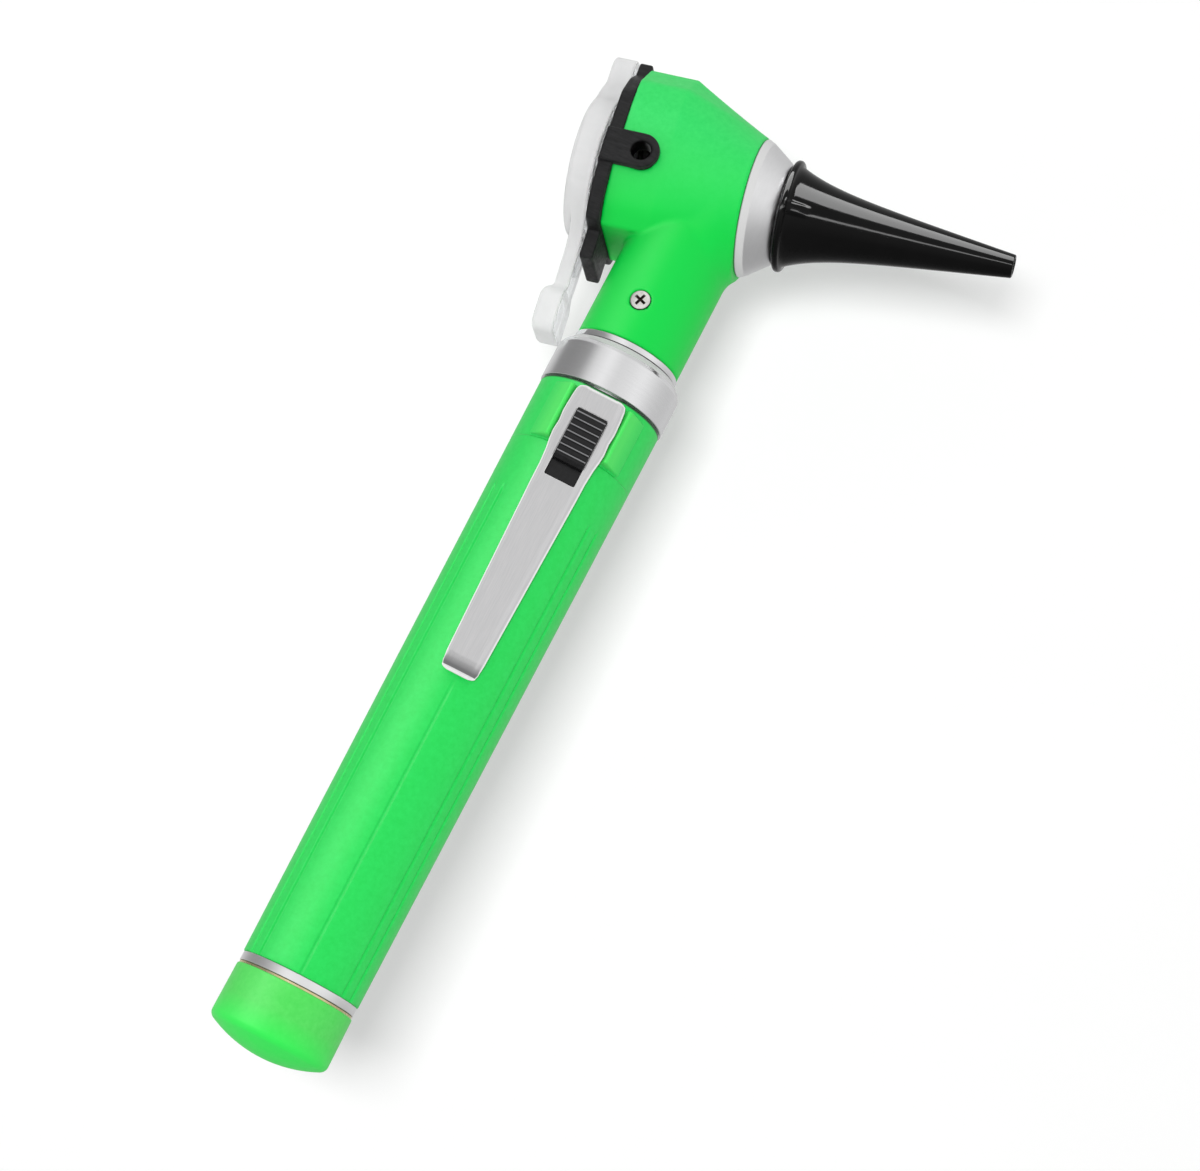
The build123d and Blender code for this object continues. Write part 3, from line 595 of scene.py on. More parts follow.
def end_cap():
    """Green cup with a shallow dome and a soft corner."""
    radius = high("end_cap").x
    top = high("end_cap").z
    rise = 2.4
    floor = 2.7
    inner = radius - 1.2
    sphere = (radius ** 2 + rise ** 2) / (2 * rise)
    reach = math.asin(radius / sphere)
    angles = np.arange(1, 23) * reach / 24
    dome = [(sphere * math.sin(angle), sphere * (1 - math.cos(angle))) for angle in angles]
    rim = rounded(
        [dome[-1], (radius, rise), (radius - 0.1, top), (inner, top), (inner, floor)],
        [0, 1.3, 0.25, 0.15, 0.3],
    )
    profile = [(0, 0)] + dome + rim[1:] + [(0, floor)]
    piece = lathe("end_cap_moulding", profile, TO_METRES, 180)
    fit(piece, "end_cap", "cap", GREEN_CAP)


# ---- clip and switch ----
CLIP_FRONT = -11.35
CLIP_TOP = 111.3
CLIP_TIP = 62.2
CLIP_THICK = 0.75
CLIP_BEND = 1.1
CLIP_BACK = -10.2
TAB_HALF = 2.95
TAB_BACK = -9.35
TAB_FROM_Z = 105.0
CLIP_OUTLINE = [
    (62.2, 2.0), (62.4, 2.5), (62.75, 2.85), (63.4, 3.04), (94.5, 3.85), (97.0, 3.87), (99.5, 4.05),
    (101.0, 4.28), (102.5, 4.42), (104.3, 4.27), (106.0, 4.42), (108.5, 4.3), (110.0, 4.15), (110.7, 3.9),
    (111.3, 3.2),
]
CLIP_WINDOW = (2.55, 101.65, 5.85)


def clip_field(x, y, z):
    """Stamped clip: rolled rim, sunk face, window and a bent return at the top."""
    outline = soft_max(np.abs(x) - np.interp(z, *zip(*CLIP_OUTLINE)), CLIP_TIP - z, 0.5)
    half, middle, reach = CLIP_WINDOW
    window = soft_max(np.abs(x) - half, np.abs(z - middle) - reach, 0.3)
    rim = smooth_step((outline + 1.3) / 0.7)
    dip = 0.4 * smooth_step((CLIP_TIP + 3.2 - z) / 1.7) * smooth_step((z - CLIP_TIP - 0.3) / 0.4)
    face = CLIP_FRONT + 0.1 * (1 - rim) + dip
    ahead = face + CLIP_BEND - y
    above = z - CLIP_TOP + CLIP_BEND
    corner = np.hypot(np.maximum(ahead, 0), np.maximum(above, 0))
    outer = np.minimum(np.maximum(ahead, above), 0) + corner - CLIP_BEND
    under = soft_max(CLIP_FRONT + CLIP_THICK - y, z - CLIP_TOP + CLIP_THICK, 0.3)
    bent = soft_max(outer, -under, 0.2)
    body = soft_max(bent, soft_max(outline, y - CLIP_BACK, 0.2), 0.5)
    tab = np.maximum(soft_max(bent, np.abs(x) - TAB_HALF, 0.3), np.maximum(y - TAB_BACK, TAB_FROM_Z - z))
    return cut(np.minimum(body, tab), window, 0.12)


def clip_steel():
    """Stamped steel, finely brushed along its length, with painted shade in a band across its tip, a painted
    highlight at its very tip and painted highlights on its rims.
    """
    look = Finish("clip_steel")
    grain = look.noise(1.0, 3.0, 0.7, look.stretched((7000, 7000, 260)))
    face = look.mottled(grain, linear(222, 221, 222), linear(211, 211, 212))
    height = look.coordinate("Z")
    # Painted shade: a mid grey band across the clip just above its tip.
    below = look.beyond(height, CLIP_TIP + 3.0, CLIP_TIP + 1.1)
    above = look.beyond(height, CLIP_TIP + 0.5, CLIP_TIP + 0.7)
    face = look.mix(look.both(below, above), face, linear(128, 128, 129))
    # Painted highlight: white along the very tip.
    face = look.mix(look.beyond(height, CLIP_TIP + 0.7, CLIP_TIP + 0.5), face, grey(1.0))
    # Painted highlight: pale, less metallic rims where the surface turns away from the front.
    front = (math.sin(GRIP_TURN), -math.cos(GRIP_TURN), 0)
    rim = look.ranged(look.cosine_to(front, "Normal"), 0.0, 1.0, 0.96, 0.8)
    look.set(Base_Color=look.mix(rim, face, grey(0.9)), Metallic=look.ranged(rim, 1.0, 0.1, 0.0, 1.0))
    look.rough(300, 0.3, 0.34, 2.0)
    look.bump(grain, 0.0004, 0.6)
    return look.material


def pocket_clip():
    """The spring clip."""
    start = (-4.9, CLIP_FRONT - 0.1, CLIP_TIP - 0.1)
    end = (4.9, -9.3, CLIP_TOP + 0.1)
    piece = surface_net("pocket_clip_pressing", clip_field, start, end, 0.13, ON_GRIP)
    fit(piece, "pocket_clip", "clip", CLIP_STEEL)


SLIDER_Z0 = 98.7
SLIDER_Z1 = 107.3
SLIDER_FRONT = -12.2
SLIDER_BACK = -10.42
SLIDER_HALF = 2.43
RIB_TOP_Z = 106.65
RIB_PITCH = 1.14
RIBS = 7
LEG_Z = 103.35
LEG_END = -8.65


def slider_field(x, y, z):
    """Thumb slider: narrow ribs above, a bevelled foot below."""
    phase = (RIB_TOP_Z - z) / RIB_PITCH
    number = np.round(phase)
    crest = 1 - smooth_step(np.abs(phase - number) * RIB_PITCH / 0.3)
    crest = crest * np.where(number == 0, 0.55, 1) * (number >= 0) * (number < RIBS)
    face = SLIDER_FRONT + 0.3 - 0.28 * crest
    body = soft_max(face - y, y - SLIDER_BACK, 0.1)
    body = soft_max(body, np.abs(x) - SLIDER_HALF, 0.16)
    body = soft_max(body, slab(z, SLIDER_Z0, SLIDER_Z1, 0.15), 0.14)
    bevel = ((SLIDER_Z0 + 0.95 - z) - (y - SLIDER_FRONT)) / math.sqrt(2)
    body = soft_max(body, bevel, 0.12)
    leg = np.maximum(np.abs(x) - 1.08, np.abs(z - LEG_Z) - 1.6)
    leg = np.maximum(leg, np.maximum(-10.8 - y, y - LEG_END))
    return np.minimum(body, leg)


def black_switch():
    """Satin black plastic with painted highlights along the crests of the slider's ribs."""
    look = Finish("black_switch")
    face = look.mottled(look.noise(1600), linear(10, 10, 11), linear(20, 20, 22))
    height = look.coordinate("Z")
    # Painted highlight: pale grey lines along the crests of the slider's ribs.
    phase = look.maths("MULTIPLY_ADD", height, -1 / (RIB_PITCH * MM), RIB_TOP_Z / RIB_PITCH)
    crest = look.ranged(look.maths("PINGPONG", phase, 0.5), 1.0, 0.0, 0.05, 0.12)
    rib_highlights = look.both(crest, look.beyond(height, SLIDER_Z0 + 0.7, SLIDER_Z0 + 0.8))
    look.set(Base_Color=look.mix(rib_highlights, face, linear(128, 128, 130)), Specular_IOR_Level=0.35)
    look.rough(2200, 0.26, 0.4)
    look.bump(look.noise(3200), 0.01, 0.5)
    return look.material


def switch_slider():
    """The ribbed slider."""
    start = (-2.6, SLIDER_FRONT - 0.05, SLIDER_Z0)
    end = (2.6, -8.6, SLIDER_Z1)
    piece = surface_net("switch_slider_moulding", slider_field, start, end, 0.075, ON_GRIP)
    fit(piece, "switch_slider", "switch", BLACK_SWITCH)


# ---- head ----
CASE_BACK = -14.2
CASE_BEND = -6.3
MOUTH = 7.1
MOUTH_R = 11.2
CASE_HALF = [
    (5.4, 17.2), (10.3, 12.7), (11.35, 8.5), (11.4, -1.5), (10.5, -5.5), (9.2, -8.6), (7.0, -11.2),
]
CAVITY_R = 9.2
CONE_END = 12.08
BARREL_END = 20.0
NECK_BORE_R = 6.62
NECK_BORE_TOP = 131.1
SCREW_Z = 128.1
SCREW_R = 1.58


def to_head(x, z):
    """Distance along and height above the optical axis, from x and z."""
    rise = z - HEAD_Z
    along = x * math.cos(HEAD_TILT) + rise * math.sin(HEAD_TILT)
    height = rise * math.cos(HEAD_TILT) - x * math.sin(HEAD_TILT)
    return along, height


def case_field(x, y, z):
    """Casing that turns from a faceted box into a round mouth, with its neck."""
    along, height = to_head(x, z)
    box = convex(y, height, mirrored(CASE_HALF), 0.45)
    share = np.clip((along - CASE_BEND) / (MOUTH - CASE_BEND), 0, 1)
    section = box * (1 - share) + (np.hypot(y, height) - MOUTH_R) * share
    case = soft_max(section, slab(along, CASE_BACK, MOUTH, 0.2), 0.25)
    radial = np.hypot(x, y)
    neck = soft_max(radial - NECK_R, slab(z, NECK_Z, HEAD_Z - 6), 0.3)
    neck = np.maximum(neck, along - MOUTH + 0.05)
    body = soft_min(case, neck, 0.5 + 3.0 * smooth_step((along + 1) / 6))
    body = soft_max(body, along - MOUTH + 0.03, 0.2)
    cavity = np.maximum(np.hypot(y, height) - CAVITY_R, -1.0 + (CASE_BACK - along))
    body = cut(body, cavity, 0.3)
    body = cut(body, np.maximum(radial - NECK_BORE_R, z - NECK_BORE_TOP), 0.3)
    side = np.hypot(x, z - SCREW_Z)
    seat = np.maximum(side - SCREW_R - 0.1, y + NECK_R - 1.05)
    port = np.maximum(np.hypot(along - PORT_ALONG, height) - 2.7, y)
    return cut(cut(body, seat, 0.15), port, 0.1)


def head_tones(look, colour):
    """Painted shade: deeper green towards the lower side. Also a matt black cavity and a duller shine."""
    look.set(Specular_IOR_Level=0.3)
    # Painted shade: the head's green deepens from above the optical axis to below it.
    rise = look.measure("DOT_PRODUCT", look.place, (-OPTICAL.z, 0, OPTICAL.x))
    middle = HEAD_Z * OPTICAL.x
    colour = look.mix(look.beyond(rise, middle + 6, middle - 9), colour, linear(0, 208, 70))
    inside = look.beyond(look.off_optical_axis(), CAVITY_R + 0.3, CAVITY_R + 0.15)
    return look.mix(inside, colour, grey(0.012))


def head_housing():
    """The green head moulding."""
    start = low("head_housing") - Vector((0.2, 0.2, 0.1))
    end = high("head_housing") + Vector((0.2, 0.2, 0.2))
    piece = surface_net("head_housing_moulding", case_field, start, end, 0.3, TO_METRES)
    fit(piece, "head_housing", "head", GREEN_HEAD)


def screw_field(x, y, z):
    """Domed screw head with a cross recess, facing -Y."""
    face = -NECK_R - 0.12
    radial = np.hypot(x, z)
    dome = face + 0.09 * radial ** 2 / 1.6
    head = soft_max(soft_max(dome - y, y + NECK_R - 0.95, 0.05), radial - SCREW_R, 0.18)
    depth = y - face - 0.75 + radial * 0.5
    arm_a = np.maximum(np.abs(x) - 0.2, np.abs(z) - 1.0)
    arm_b = np.maximum(np.abs(z) - 0.2, np.abs(x) - 1.0)
    cross = np.maximum(np.minimum(arm_a, arm_b), depth)
    shank = np.maximum(radial - 0.78, np.maximum(-NECK_R + 0.5 - y, y + NECK_R - 3.15))
    return np.minimum(cut(head, cross, 0.08), shank)


def screw_steel():
    """Bright turned steel with painted shade in its cross recess."""
    look = Finish("screw_steel")
    face = look.mottled(look.noise(1500), linear(240, 239, 236), linear(214, 212, 206))
    # Painted shade: dark brown wherever the screw lies deeper than its head's face, as in its cross recess.
    deep = look.beyond(look.coordinate("Y"), -NECK_R + 0.05, -NECK_R + 0.2)
    look.set(Base_Color=look.mix(deep, face, linear(48, 40, 34)), Metallic=1.0)
    look.rough(2600, 0.14, 0.26)
    return look.material


def neck_screw():
    """The cross-head screw in the neck."""
    matrix = TO_METRES @ Matrix.Translation((0, 0, SCREW_Z)) @ Matrix.Rotation(0.35, 4, "Y")
    start = (-1.7, -NECK_R - 0.2, -1.7)
    end = (1.7, -NECK_R + 3.2, 1.7)
    piece = surface_net("neck_screw_turned", screw_field, start, end, 0.05, matrix)
    fit(piece, "neck_screw", "head", SCREW_STEEL)


def head_base():
    """Chromed base with its flange showing below the neck."""
    z0 = low("head_base").z
    flange = high("top_collar").z - 0.3
    top, ledge, groove = NECK_Z - 0.02, NECK_Z - 0.2, flange + 0.5
    bush = NECK_BORE_TOP - 0.15
    corners = [
        (4.56, z0), (6.98, z0), (6.98, flange), (8.2, flange), (8.2, groove), (8.78, groove),
        (8.78, ledge), (8.2, ledge), (8.2, top), (6.58, top), (6.58, bush), (3.96, bush),
        (3.96, z0 + 1.8), (4.56, z0 + 1.8),
    ]
    radii = [0, 0.1, 0, 0, 0, 0.12, 0.12, 0, 0, 0, 0.1, 0.1, 0, 0]
    piece = lathe("head_base_turned", rounded(corners, radii), TO_METRES, 200)
    fit(piece, "head_base", "head", BRIGHT_UPRIGHT)


def cone_rim_highlight(look):
    """Where the nose cone's bevel next to the casing gets a painted highlight."""
    return look.beyond(look.off_optical_axis(), 10.5, 10.62)


def nose_cone():
    """Satin metal cone whose bevel next to the casing gets a painted highlight."""
    spigot, inner = CAVITY_R - 0.02, CAVITY_R - 1
    seat, base = MOUTH + 0.02, MOUTH - 3
    corners = [
        (spigot, base), (inner, base), (inner, MOUTH), (6.3, 11.1), (6.3, CONE_END), (7.9, CONE_END),
        (10.6, 8.35), (11.1, MOUTH + 0.25), (11.0, seat), (spigot, seat),
    ]
    radii = [0.1, 0.1, 0, 0, 0, 0.25, 0.2, 0.12, 0, 0]
    piece = lathe("nose_cone_turned", rounded(corners, radii), ALONG_AXIS, 200)
    fit(piece, "nose_cone", "head", SATIN_ALONG)


def nose_barrel():
    """Tapered barrel that carries the speculum."""
    corners = [(2.4, 11.12), (6.28, 11.12), (6.28, 12.1), (4.5, BARREL_END), (2.4, BARREL_END)]
    piece = lathe("nose_barrel_turned", rounded(corners, [0.1, 0.1, 0.1, 0.25, 0.15]), ALONG_AXIS)
    fit(piece, "nose_barrel", "head", SATIN_ALONG)


# ---- speculum ----
SPEC_START = 12.45
SPEC_END = 49.3
SPEC_WALL = 0.7
BAYONET_TURNS = (-math.pi / 2 + 0.23, math.pi / 2 + 0.23)


def trumpet(along):
    """Outer radius of the speculum's flared body."""
    return 1.84 + 0.1185 * (SPEC_END - along) + 2.15 * math.exp(-(along - 13.2) / 5.2)


def speculum_plastic():
    """Glossy black plastic with faint flow waves."""
    look = Finish("speculum_plastic")
    face = look.mottled(look.noise(300), linear(2, 2, 2), linear(5, 5, 5))
    look.set(Base_Color=face, Specular_IOR_Level=0.15)
    look.rough(700, 0.07, 0.12)
    look.bump(look.noise(160, 2.0), 0.12, 0.3)
    return look.material


def speculum():
    """Flange, trumpet and rolled tip, with two bayonet lugs."""
    stations = np.linspace(SPEC_START + 1.25, SPEC_END - 0.35, 46)
    outer = [(trumpet(s), s) for s in stations]
    inner = [(max(trumpet(s) - SPEC_WALL, 1.2), s) for s in reversed(stations)]
    flange = rounded(
        [inner[-1], (inner[-1][0], SPEC_START), (8.95, SPEC_START), (8.95, SPEC_START + 1.0), outer[0]],
        [0, 0.2, 0.48, 0.48, 0],
    )
    tip = rounded(
        [outer[-1], (trumpet(SPEC_END), SPEC_END), (trumpet(SPEC_END) - SPEC_WALL, SPEC_END), inner[0]],
        [0, 0.28, 0.28, 0],
    )
    profile = flange[1:-1] + outer + tip[1:-1] + inner

    def bayonet(turn, radius, z):
        """Height of the two small lugs beside the flange."""
        if radius < trumpet(max(z, SPEC_START + 1)) - 0.2 or not 13.3 < z < 16.8:
            return 0.0
        away = min(turned_away(turn, side) for side in BAYONET_TURNS) * radius
        return 0.5 * float(smooth_step((1.05 - away) / 0.3) * smooth_step((16.4 - z) / 0.3))

    piece = lathe("speculum_moulding", profile, ALONG_AXIS, 220, bayonet)
    fit(piece, "speculum", "speculum", SPECULUM_BLACK)


# ---- rear plate and lens ----
PLATE_BACK = -16.4
WINDOW_R = 8.0
PORT_R = 1.55
PORT_LUG_R = 2.9


def plate_field(along, y, height):
    """Black rear plate: waisted outline, window, port tab and its hole."""
    main = convex(y, height, mirrored([
        (5.8, 15.6), (8.7, 13.6), (11.25, 10.0), (11.9, 4.0), (11.93, -3.0), (11.75, -5.8), (9.9, -9.9),
        (8.7, -11.4), (5.2, -11.9),
    ]), 0.4)
    tab = convex(y, height, mirrored([(5.15, 18.15), (5.8, 15.4), (5.8, 10.0)]), 0.4)
    foot = convex(y, height, mirrored([(5.2, -9.0), (5.0, -16.45)]), 0.5)
    outline = soft_min(soft_min(main, tab, 0.3), foot, 0.4)
    plate = soft_max(outline, slab(along, PLATE_BACK, CASE_BACK, 0.2), 0.4)
    end = np.maximum(np.hypot(np.maximum(along - PORT_ALONG, 0), height) - PORT_LUG_R, PLATE_BACK - along)
    lug = soft_max(end, slab(y, -12.7, -11.4, 0.2), 0.3)
    boss = np.maximum(np.hypot(along - PORT_ALONG, height) - 2.5, slab(y, -12.0, -9.3))
    body = np.minimum(soft_min(plate, lug, 0.3), boss)
    port = np.hypot(along - PORT_ALONG, height) - PORT_R - 0.25 * smooth_step((-12.3 - y) / 0.4)
    body = cut(body, np.maximum(port, y + 5), 0.15)
    return cut(body, np.hypot(y, height) - WINDOW_R, 0.3)


def black_plate():
    """Matt black moulded plastic with a fine streaky grain and an unlit port."""
    look = Finish("black_plate")
    streaks = look.noise(1.0, 4.0, 0.7, look.stretched((500, 500, 3600), (0, HEAD_TILT, 0)))
    face = look.mottled(streaks, linear(12, 12, 13), linear(36, 36, 37))
    port = (PORT_ALONG * math.cos(HEAD_TILT), 0, HEAD_Z + PORT_ALONG * math.sin(HEAD_TILT))
    hole = look.beyond(look.away_from(port, (1, 0, 1)), PORT_R + 0.2, PORT_R + 0.05)
    look.set(Base_Color=look.mix(hole, face, grey(0.001)), Specular_IOR_Level=0.3)
    look.rough(1800, 0.38, 0.56)
    look.bump(streaks, 0.03, 0.6)
    look.bump(look.noise(2600), 0.03, 0.5)
    return look.material


def rear_plate():
    """The black plate behind the casing."""
    start = (PLATE_BACK - 0.1, -12.8, -16.6)
    end = (-7.2, 12.1, 18.3)
    piece = surface_net("rear_plate_moulding", plate_field, start, end, 0.2, ON_HEAD)
    fit(piece, "rear_plate", "head", BLACK_PLATE)


LENS_FRONT = -17.05
LENS_BACK = -21.15
LENS_R = 11.65
LENS_HEIGHT = 0.8
STEM_BACK = -19.4
RIVET_HEAD_R = 2.4
RIVET_HEAD_AT = -20.0
RIVET_R = 1.25


def lens_field(along, y, height):
    """Clear magnifier: crowned disc with a rim, boss, stem and thumb paddle."""
    away = np.hypot(y, height - LENS_HEIGHT)
    crown = 0.45 * (1 - (np.minimum(away, 9.6) / 9.6) ** 2)
    dish = 0.5 * smooth_step((10.4 - away) / 0.5) * smooth_step((11.2 - height) / 0.6)
    disc = soft_max(away - LENS_R, LENS_BACK + dish - crown - along, 0.9)
    boss = convex(y, height, mirrored([(4.85, 19.25), (4.85, LENS_HEIGHT)]), 2.6)
    boss = soft_max(boss, LENS_BACK + 0.3 - along, 0.6)
    web = convex(y, height, mirrored([(8.5, -7.0), (2.8, -13.6)]), 0.8)
    stem = convex(y, height, mirrored([(3.3, -9.0), (2.6, -23.0)]), 0.5)
    stem = soft_max(soft_min(web, stem, 1.5), STEM_BACK - along, 0.5)
    paddle = convex(y, height, mirrored([(4.25, -21.7), (4.25, -29.15)]), 2.0)
    paddle = soft_max(paddle, LENS_BACK + 0.3 - along, 1.2)
    body = soft_min(soft_min(disc, boss, 2.8), soft_min(stem, paddle, 1.2), 1.4)
    body = soft_max(body, LENS_BACK - along, 0.1)
    body = soft_max(body, along - LENS_FRONT, 0.4)
    bore = np.hypot(y, height - PIVOT_HEIGHT)
    body = cut(body, np.maximum(bore - RIVET_HEAD_R, along - RIVET_HEAD_AT), 0.15)
    return cut(body, bore - RIVET_R, 0.1)


def clear_lens():
    """Clear acrylic whose moulded edges look milky."""
    look = Finish("clear_lens")
    tint = look.mottled(look.noise(500), linear(246, 248, 249), linear(238, 241, 243))
    look.set(Base_Color=tint)
    look.rough(900, 0.05, 0.16)
    look.set(Transmission_Weight=1.0, IOR=1.45)
    cloud = look.mottled(look.noise(260), linear(247, 247, 247), linear(253, 253, 253))
    milk = look.add("ShaderNodeBsdfTranslucent", {"Color": cloud}).outputs[0]
    skin = look.add("ShaderNodeBsdfPrincipled", {"Base Color": cloud, "Roughness": 0.25}).outputs[0]
    flat = look.maths("ABSOLUTE", look.cosine_to(OPTICAL, "True Normal"))
    edges = look.ranged(flat, 0.86, 0.1, 0.8, 0.985)
    look.show(look.blend(edges, look.shader.outputs[0], look.blend(0.6, milk, skin)))
    return look.material


def lens():
    """The swinging magnifier."""
    start = (LENS_BACK - 0.4, -LENS_R - 0.1, -29.3)
    end = (LENS_FRONT + 0.1, LENS_R + 0.1, 19.4)
    piece = surface_net("lens_moulding", lens_field, start, end, 0.22, ON_HEAD)
    fit(piece, "lens", "lens", CLEAR_LENS)


# ---- the CAD nodes that stay as they are ----
def finish_cad_nodes():
    """Materials for the small and inner pieces whose CAD shape is kept."""
    kept = {
        BRASS: ("cap_insert", "contact_strip", "centre_contact", "switch_contact", "lamp_contact"),
        SPRING: ("battery_spring", "contact_spring", "pivot_washer"),
        WHITE: ("contact_insulator", "lamp_insulator"),
        JACKET: ("battery_lower", "battery_upper"),
        BRIGHT_UPRIGHT: ("lamp_base", "lens_pivot"),
        BULB: ("lamp_bulb",), FIBRE: ("light_guide",), SEAL: ("lens_seal",), BLACK_SWITCH: ("switch_frame",),
    }
    for material, nodes in kept.items():
        for node in nodes:
            for place in frame["nodes"][node].material_slots:
                place.material = material


# ---- studio ----
CAMERA_AZIMUTH = math.radians(14.0)
CAMERA_ELEVATION = math.radians(-13.4)
CAMERA_ROLL = math.radians(27.29)
CAMERA_TARGET = Vector((13.0, 0.0, 86.14))
CAMERA_DISTANCE = 453.4
CAMERA_FOCAL = 89.1


def view_axes():
    """Right, up and backward directions of the unrolled view."""
    flat = math.cos(CAMERA_ELEVATION)
    back = Vector((
        math.sin(CAMERA_AZIMUTH) * flat, -math.cos(CAMERA_AZIMUTH) * flat, math.sin(CAMERA_ELEVATION),
    ))
    right = Vector((math.cos(CAMERA_AZIMUTH), math.sin(CAMERA_AZIMUTH), 0))
    return right, back.cross(right), back


def add_camera():
    """Camera a little below the head's height, rolled so the handle leans."""
    right, up, back = view_axes()
    camera = bpy.data.objects.new("camera", bpy.data.cameras.new("camera"))
    bpy.context.scene.collection.objects.link(camera)
    turned_right = right * math.cos(CAMERA_ROLL) + up * math.sin(CAMERA_ROLL)
    turned_up = up * math.cos(CAMERA_ROLL) - right * math.sin(CAMERA_ROLL)
    axes = Matrix((turned_right, turned_up, back)).transposed().to_4x4()
    place = (CAMERA_TARGET + back * CAMERA_DISTANCE) * MM
    camera.matrix_world = Matrix.Translation(place) @ axes
    camera.data.lens = CAMERA_FOCAL
    camera.data.sensor_width = 36
    camera.data.clip_start = 0.01
    bpy.context.scene.camera = camera
    return turned_right, turned_up, back


def add_light(name, place, aim, size, power, along=Vector((1, 0, 0))):
    """Soft rectangular lamp, in millimetres, aimed at a point, its first side along a direction."""
    data = bpy.data.lights.new(name, "AREA")
    data.shape = "RECTANGLE"
    data.size, data.size_y = size[0] * MM, size[1] * MM
    data.energy = power
    lamp = bpy.data.objects.new(name, data)
    bpy.context.scene.collection.objects.link(lamp)
    back = (Vector(place) - Vector(aim)).normalized()
    side = (along - back * along.dot(back)).normalized()
    axes = Matrix((side, back.cross(side), back)).transposed().to_4x4()
    lamp.matrix_world = Matrix.Translation(Vector(place) * MM) @ axes
    return lamp


# World tones against the cosine of the angle to a view direction.
TENT_DEPTH = ((-1, 0.68), (-0.6, 0.86), (0, 0.82), (1, 0.36))
TENT_SIDE = ((-1, 0.8), (1, 1.0))
GLOSS_SIDE = (
    (-1, 0.28), (-0.85, 0.34), (-0.66, 0.74), (-0.35, 0.94), (0, 0.74), (0.35, 0.8), (0.65, 0.9),
    (0.85, 0.84), (1, 0.76),
)
GLOSS_HEIGHT = ((-1, 0.5), (-0.7, 0.55), (-0.3, 0.88), (0, 1.0))
GLOSS_DEPTH = ((-1, 0.72), (-0.5, 0.76), (0, 0.86), (0.5, 1.0))
BACKDROP_DEPTH = 78.0


def one_sided(name, tone, fade_start, fade_end, reach):
    """Pale surface seen only from its front, fading out when the camera turns away and far off."""
    look = Finish(name)
    look.set(Base_Color=look.mottled(look.noise(12), tone, dimmed(tone, 0.985)))
    look.set(Roughness=0.9, Specular_IOR_Level=0.0)
    geometry = look.add("ShaderNodeNewGeometry").outputs
    path = look.add("ShaderNodeLightPath").outputs
    sight = look.seen_from("WORLD", (0, 0, 1), "VECTOR", "CAMERA")
    facing = look.measure("DOT_PRODUCT", sight, geometry["True Normal"])
    visible = look.ranged(look.maths("ABSOLUTE", facing), 0, 1, fade_start, fade_end)
    near = look.ranged(look.measure("LENGTH", look.place), 1, 0, reach * 0.35, reach)
    front = look.ranged(geometry["Backfacing"], 1, 0, 0, 1)
    for share in (near, front, path["Is Camera Ray"]):
        visible = look.both(visible, share)
    clear = look.add("ShaderNodeBsdfTransparent").outputs[0]
    look.show(look.blend(visible, clear, look.shader.outputs[0]))
    return look.material


def add_sheet(name, centre, right, up, half, material):
    """Square stage sheet, in millimetres."""
    corners = [-right - up, right - up, right + up, up - right]
    points = [tuple(corner * half) for corner in corners]
    sheet = put(name, points, [(0, 1, 2, 3)], TO_METRES, smooth=False)
    sheet.location = centre * MM
    sheet.data.materials.append(material)


def add_world(right, up, turned_up, back):
    """White seen directly, one soft tent for diffuse light and another one for reflections."""
    world = bpy.data.worlds.new("studio")
    bpy.context.scene.world = world
    world.use_nodes = True
    graph = Graph(world.node_tree)
    place = graph.add("ShaderNodeTexCoord").outputs["Generated"]
    path = graph.add("ShaderNodeLightPath").outputs

    def shade(direction, stops):
        """Grey tone from the cosine of the angle to a direction."""
        height = graph.ranged(graph.measure("DOT_PRODUCT", place, direction), 0, 1, -1, 1)
        ramp = graph.add("ShaderNodeValToRGB", {"Fac": height})
        elements = ramp.color_ramp.elements
        while len(elements) < len(stops):
            elements.new(0.5)
        for element, (cosine, tone) in zip(elements, stops):
            element.position = (cosine + 1) / 2
            element.color = grey(tone)
        return ramp.outputs["Color"]

    def tent(strength, tone, *others):
        """Background whose tone is the product of several shades."""
        for other in others:
            tone = graph.vector_maths("MULTIPLY", tone, other)
        return graph.add("ShaderNodeBackground", {"Color": tone, "Strength": strength}).outputs[0]

    side = (up * 0.6 - right * 0.8).normalized()
    diffuse = tent(1.38, shade(back, TENT_DEPTH), shade(side, TENT_SIDE))
    gloss = [shade(right, GLOSS_SIDE), shade(turned_up, GLOSS_HEIGHT), shade(back, GLOSS_DEPTH)]
    lit = graph.blend(path["Is Glossy Ray"], diffuse, tent(1.04, *gloss))
    white = graph.nodes["Background"]
    white.inputs["Color"].default_value = grey(1.0)
    seen = graph.maths("MAXIMUM", path["Is Camera Ray"], path["Is Transmission Ray"])
    shown = graph.blend(seen, lit, white.outputs[0])
    graph.links.new(shown, graph.nodes["World Output"].inputs["Surface"])


def gleam_only(lamp, *names):
    """Keep a lamp for the reflections on some pieces only."""
    group = bpy.data.collections.new(lamp.name + "_gleam")
    for name in names:
        group.objects.link(bpy.data.objects[name])
    lamp.light_linking.receiver_collection = group
    lamp.visible_diffuse = False
    lamp.visible_camera = False


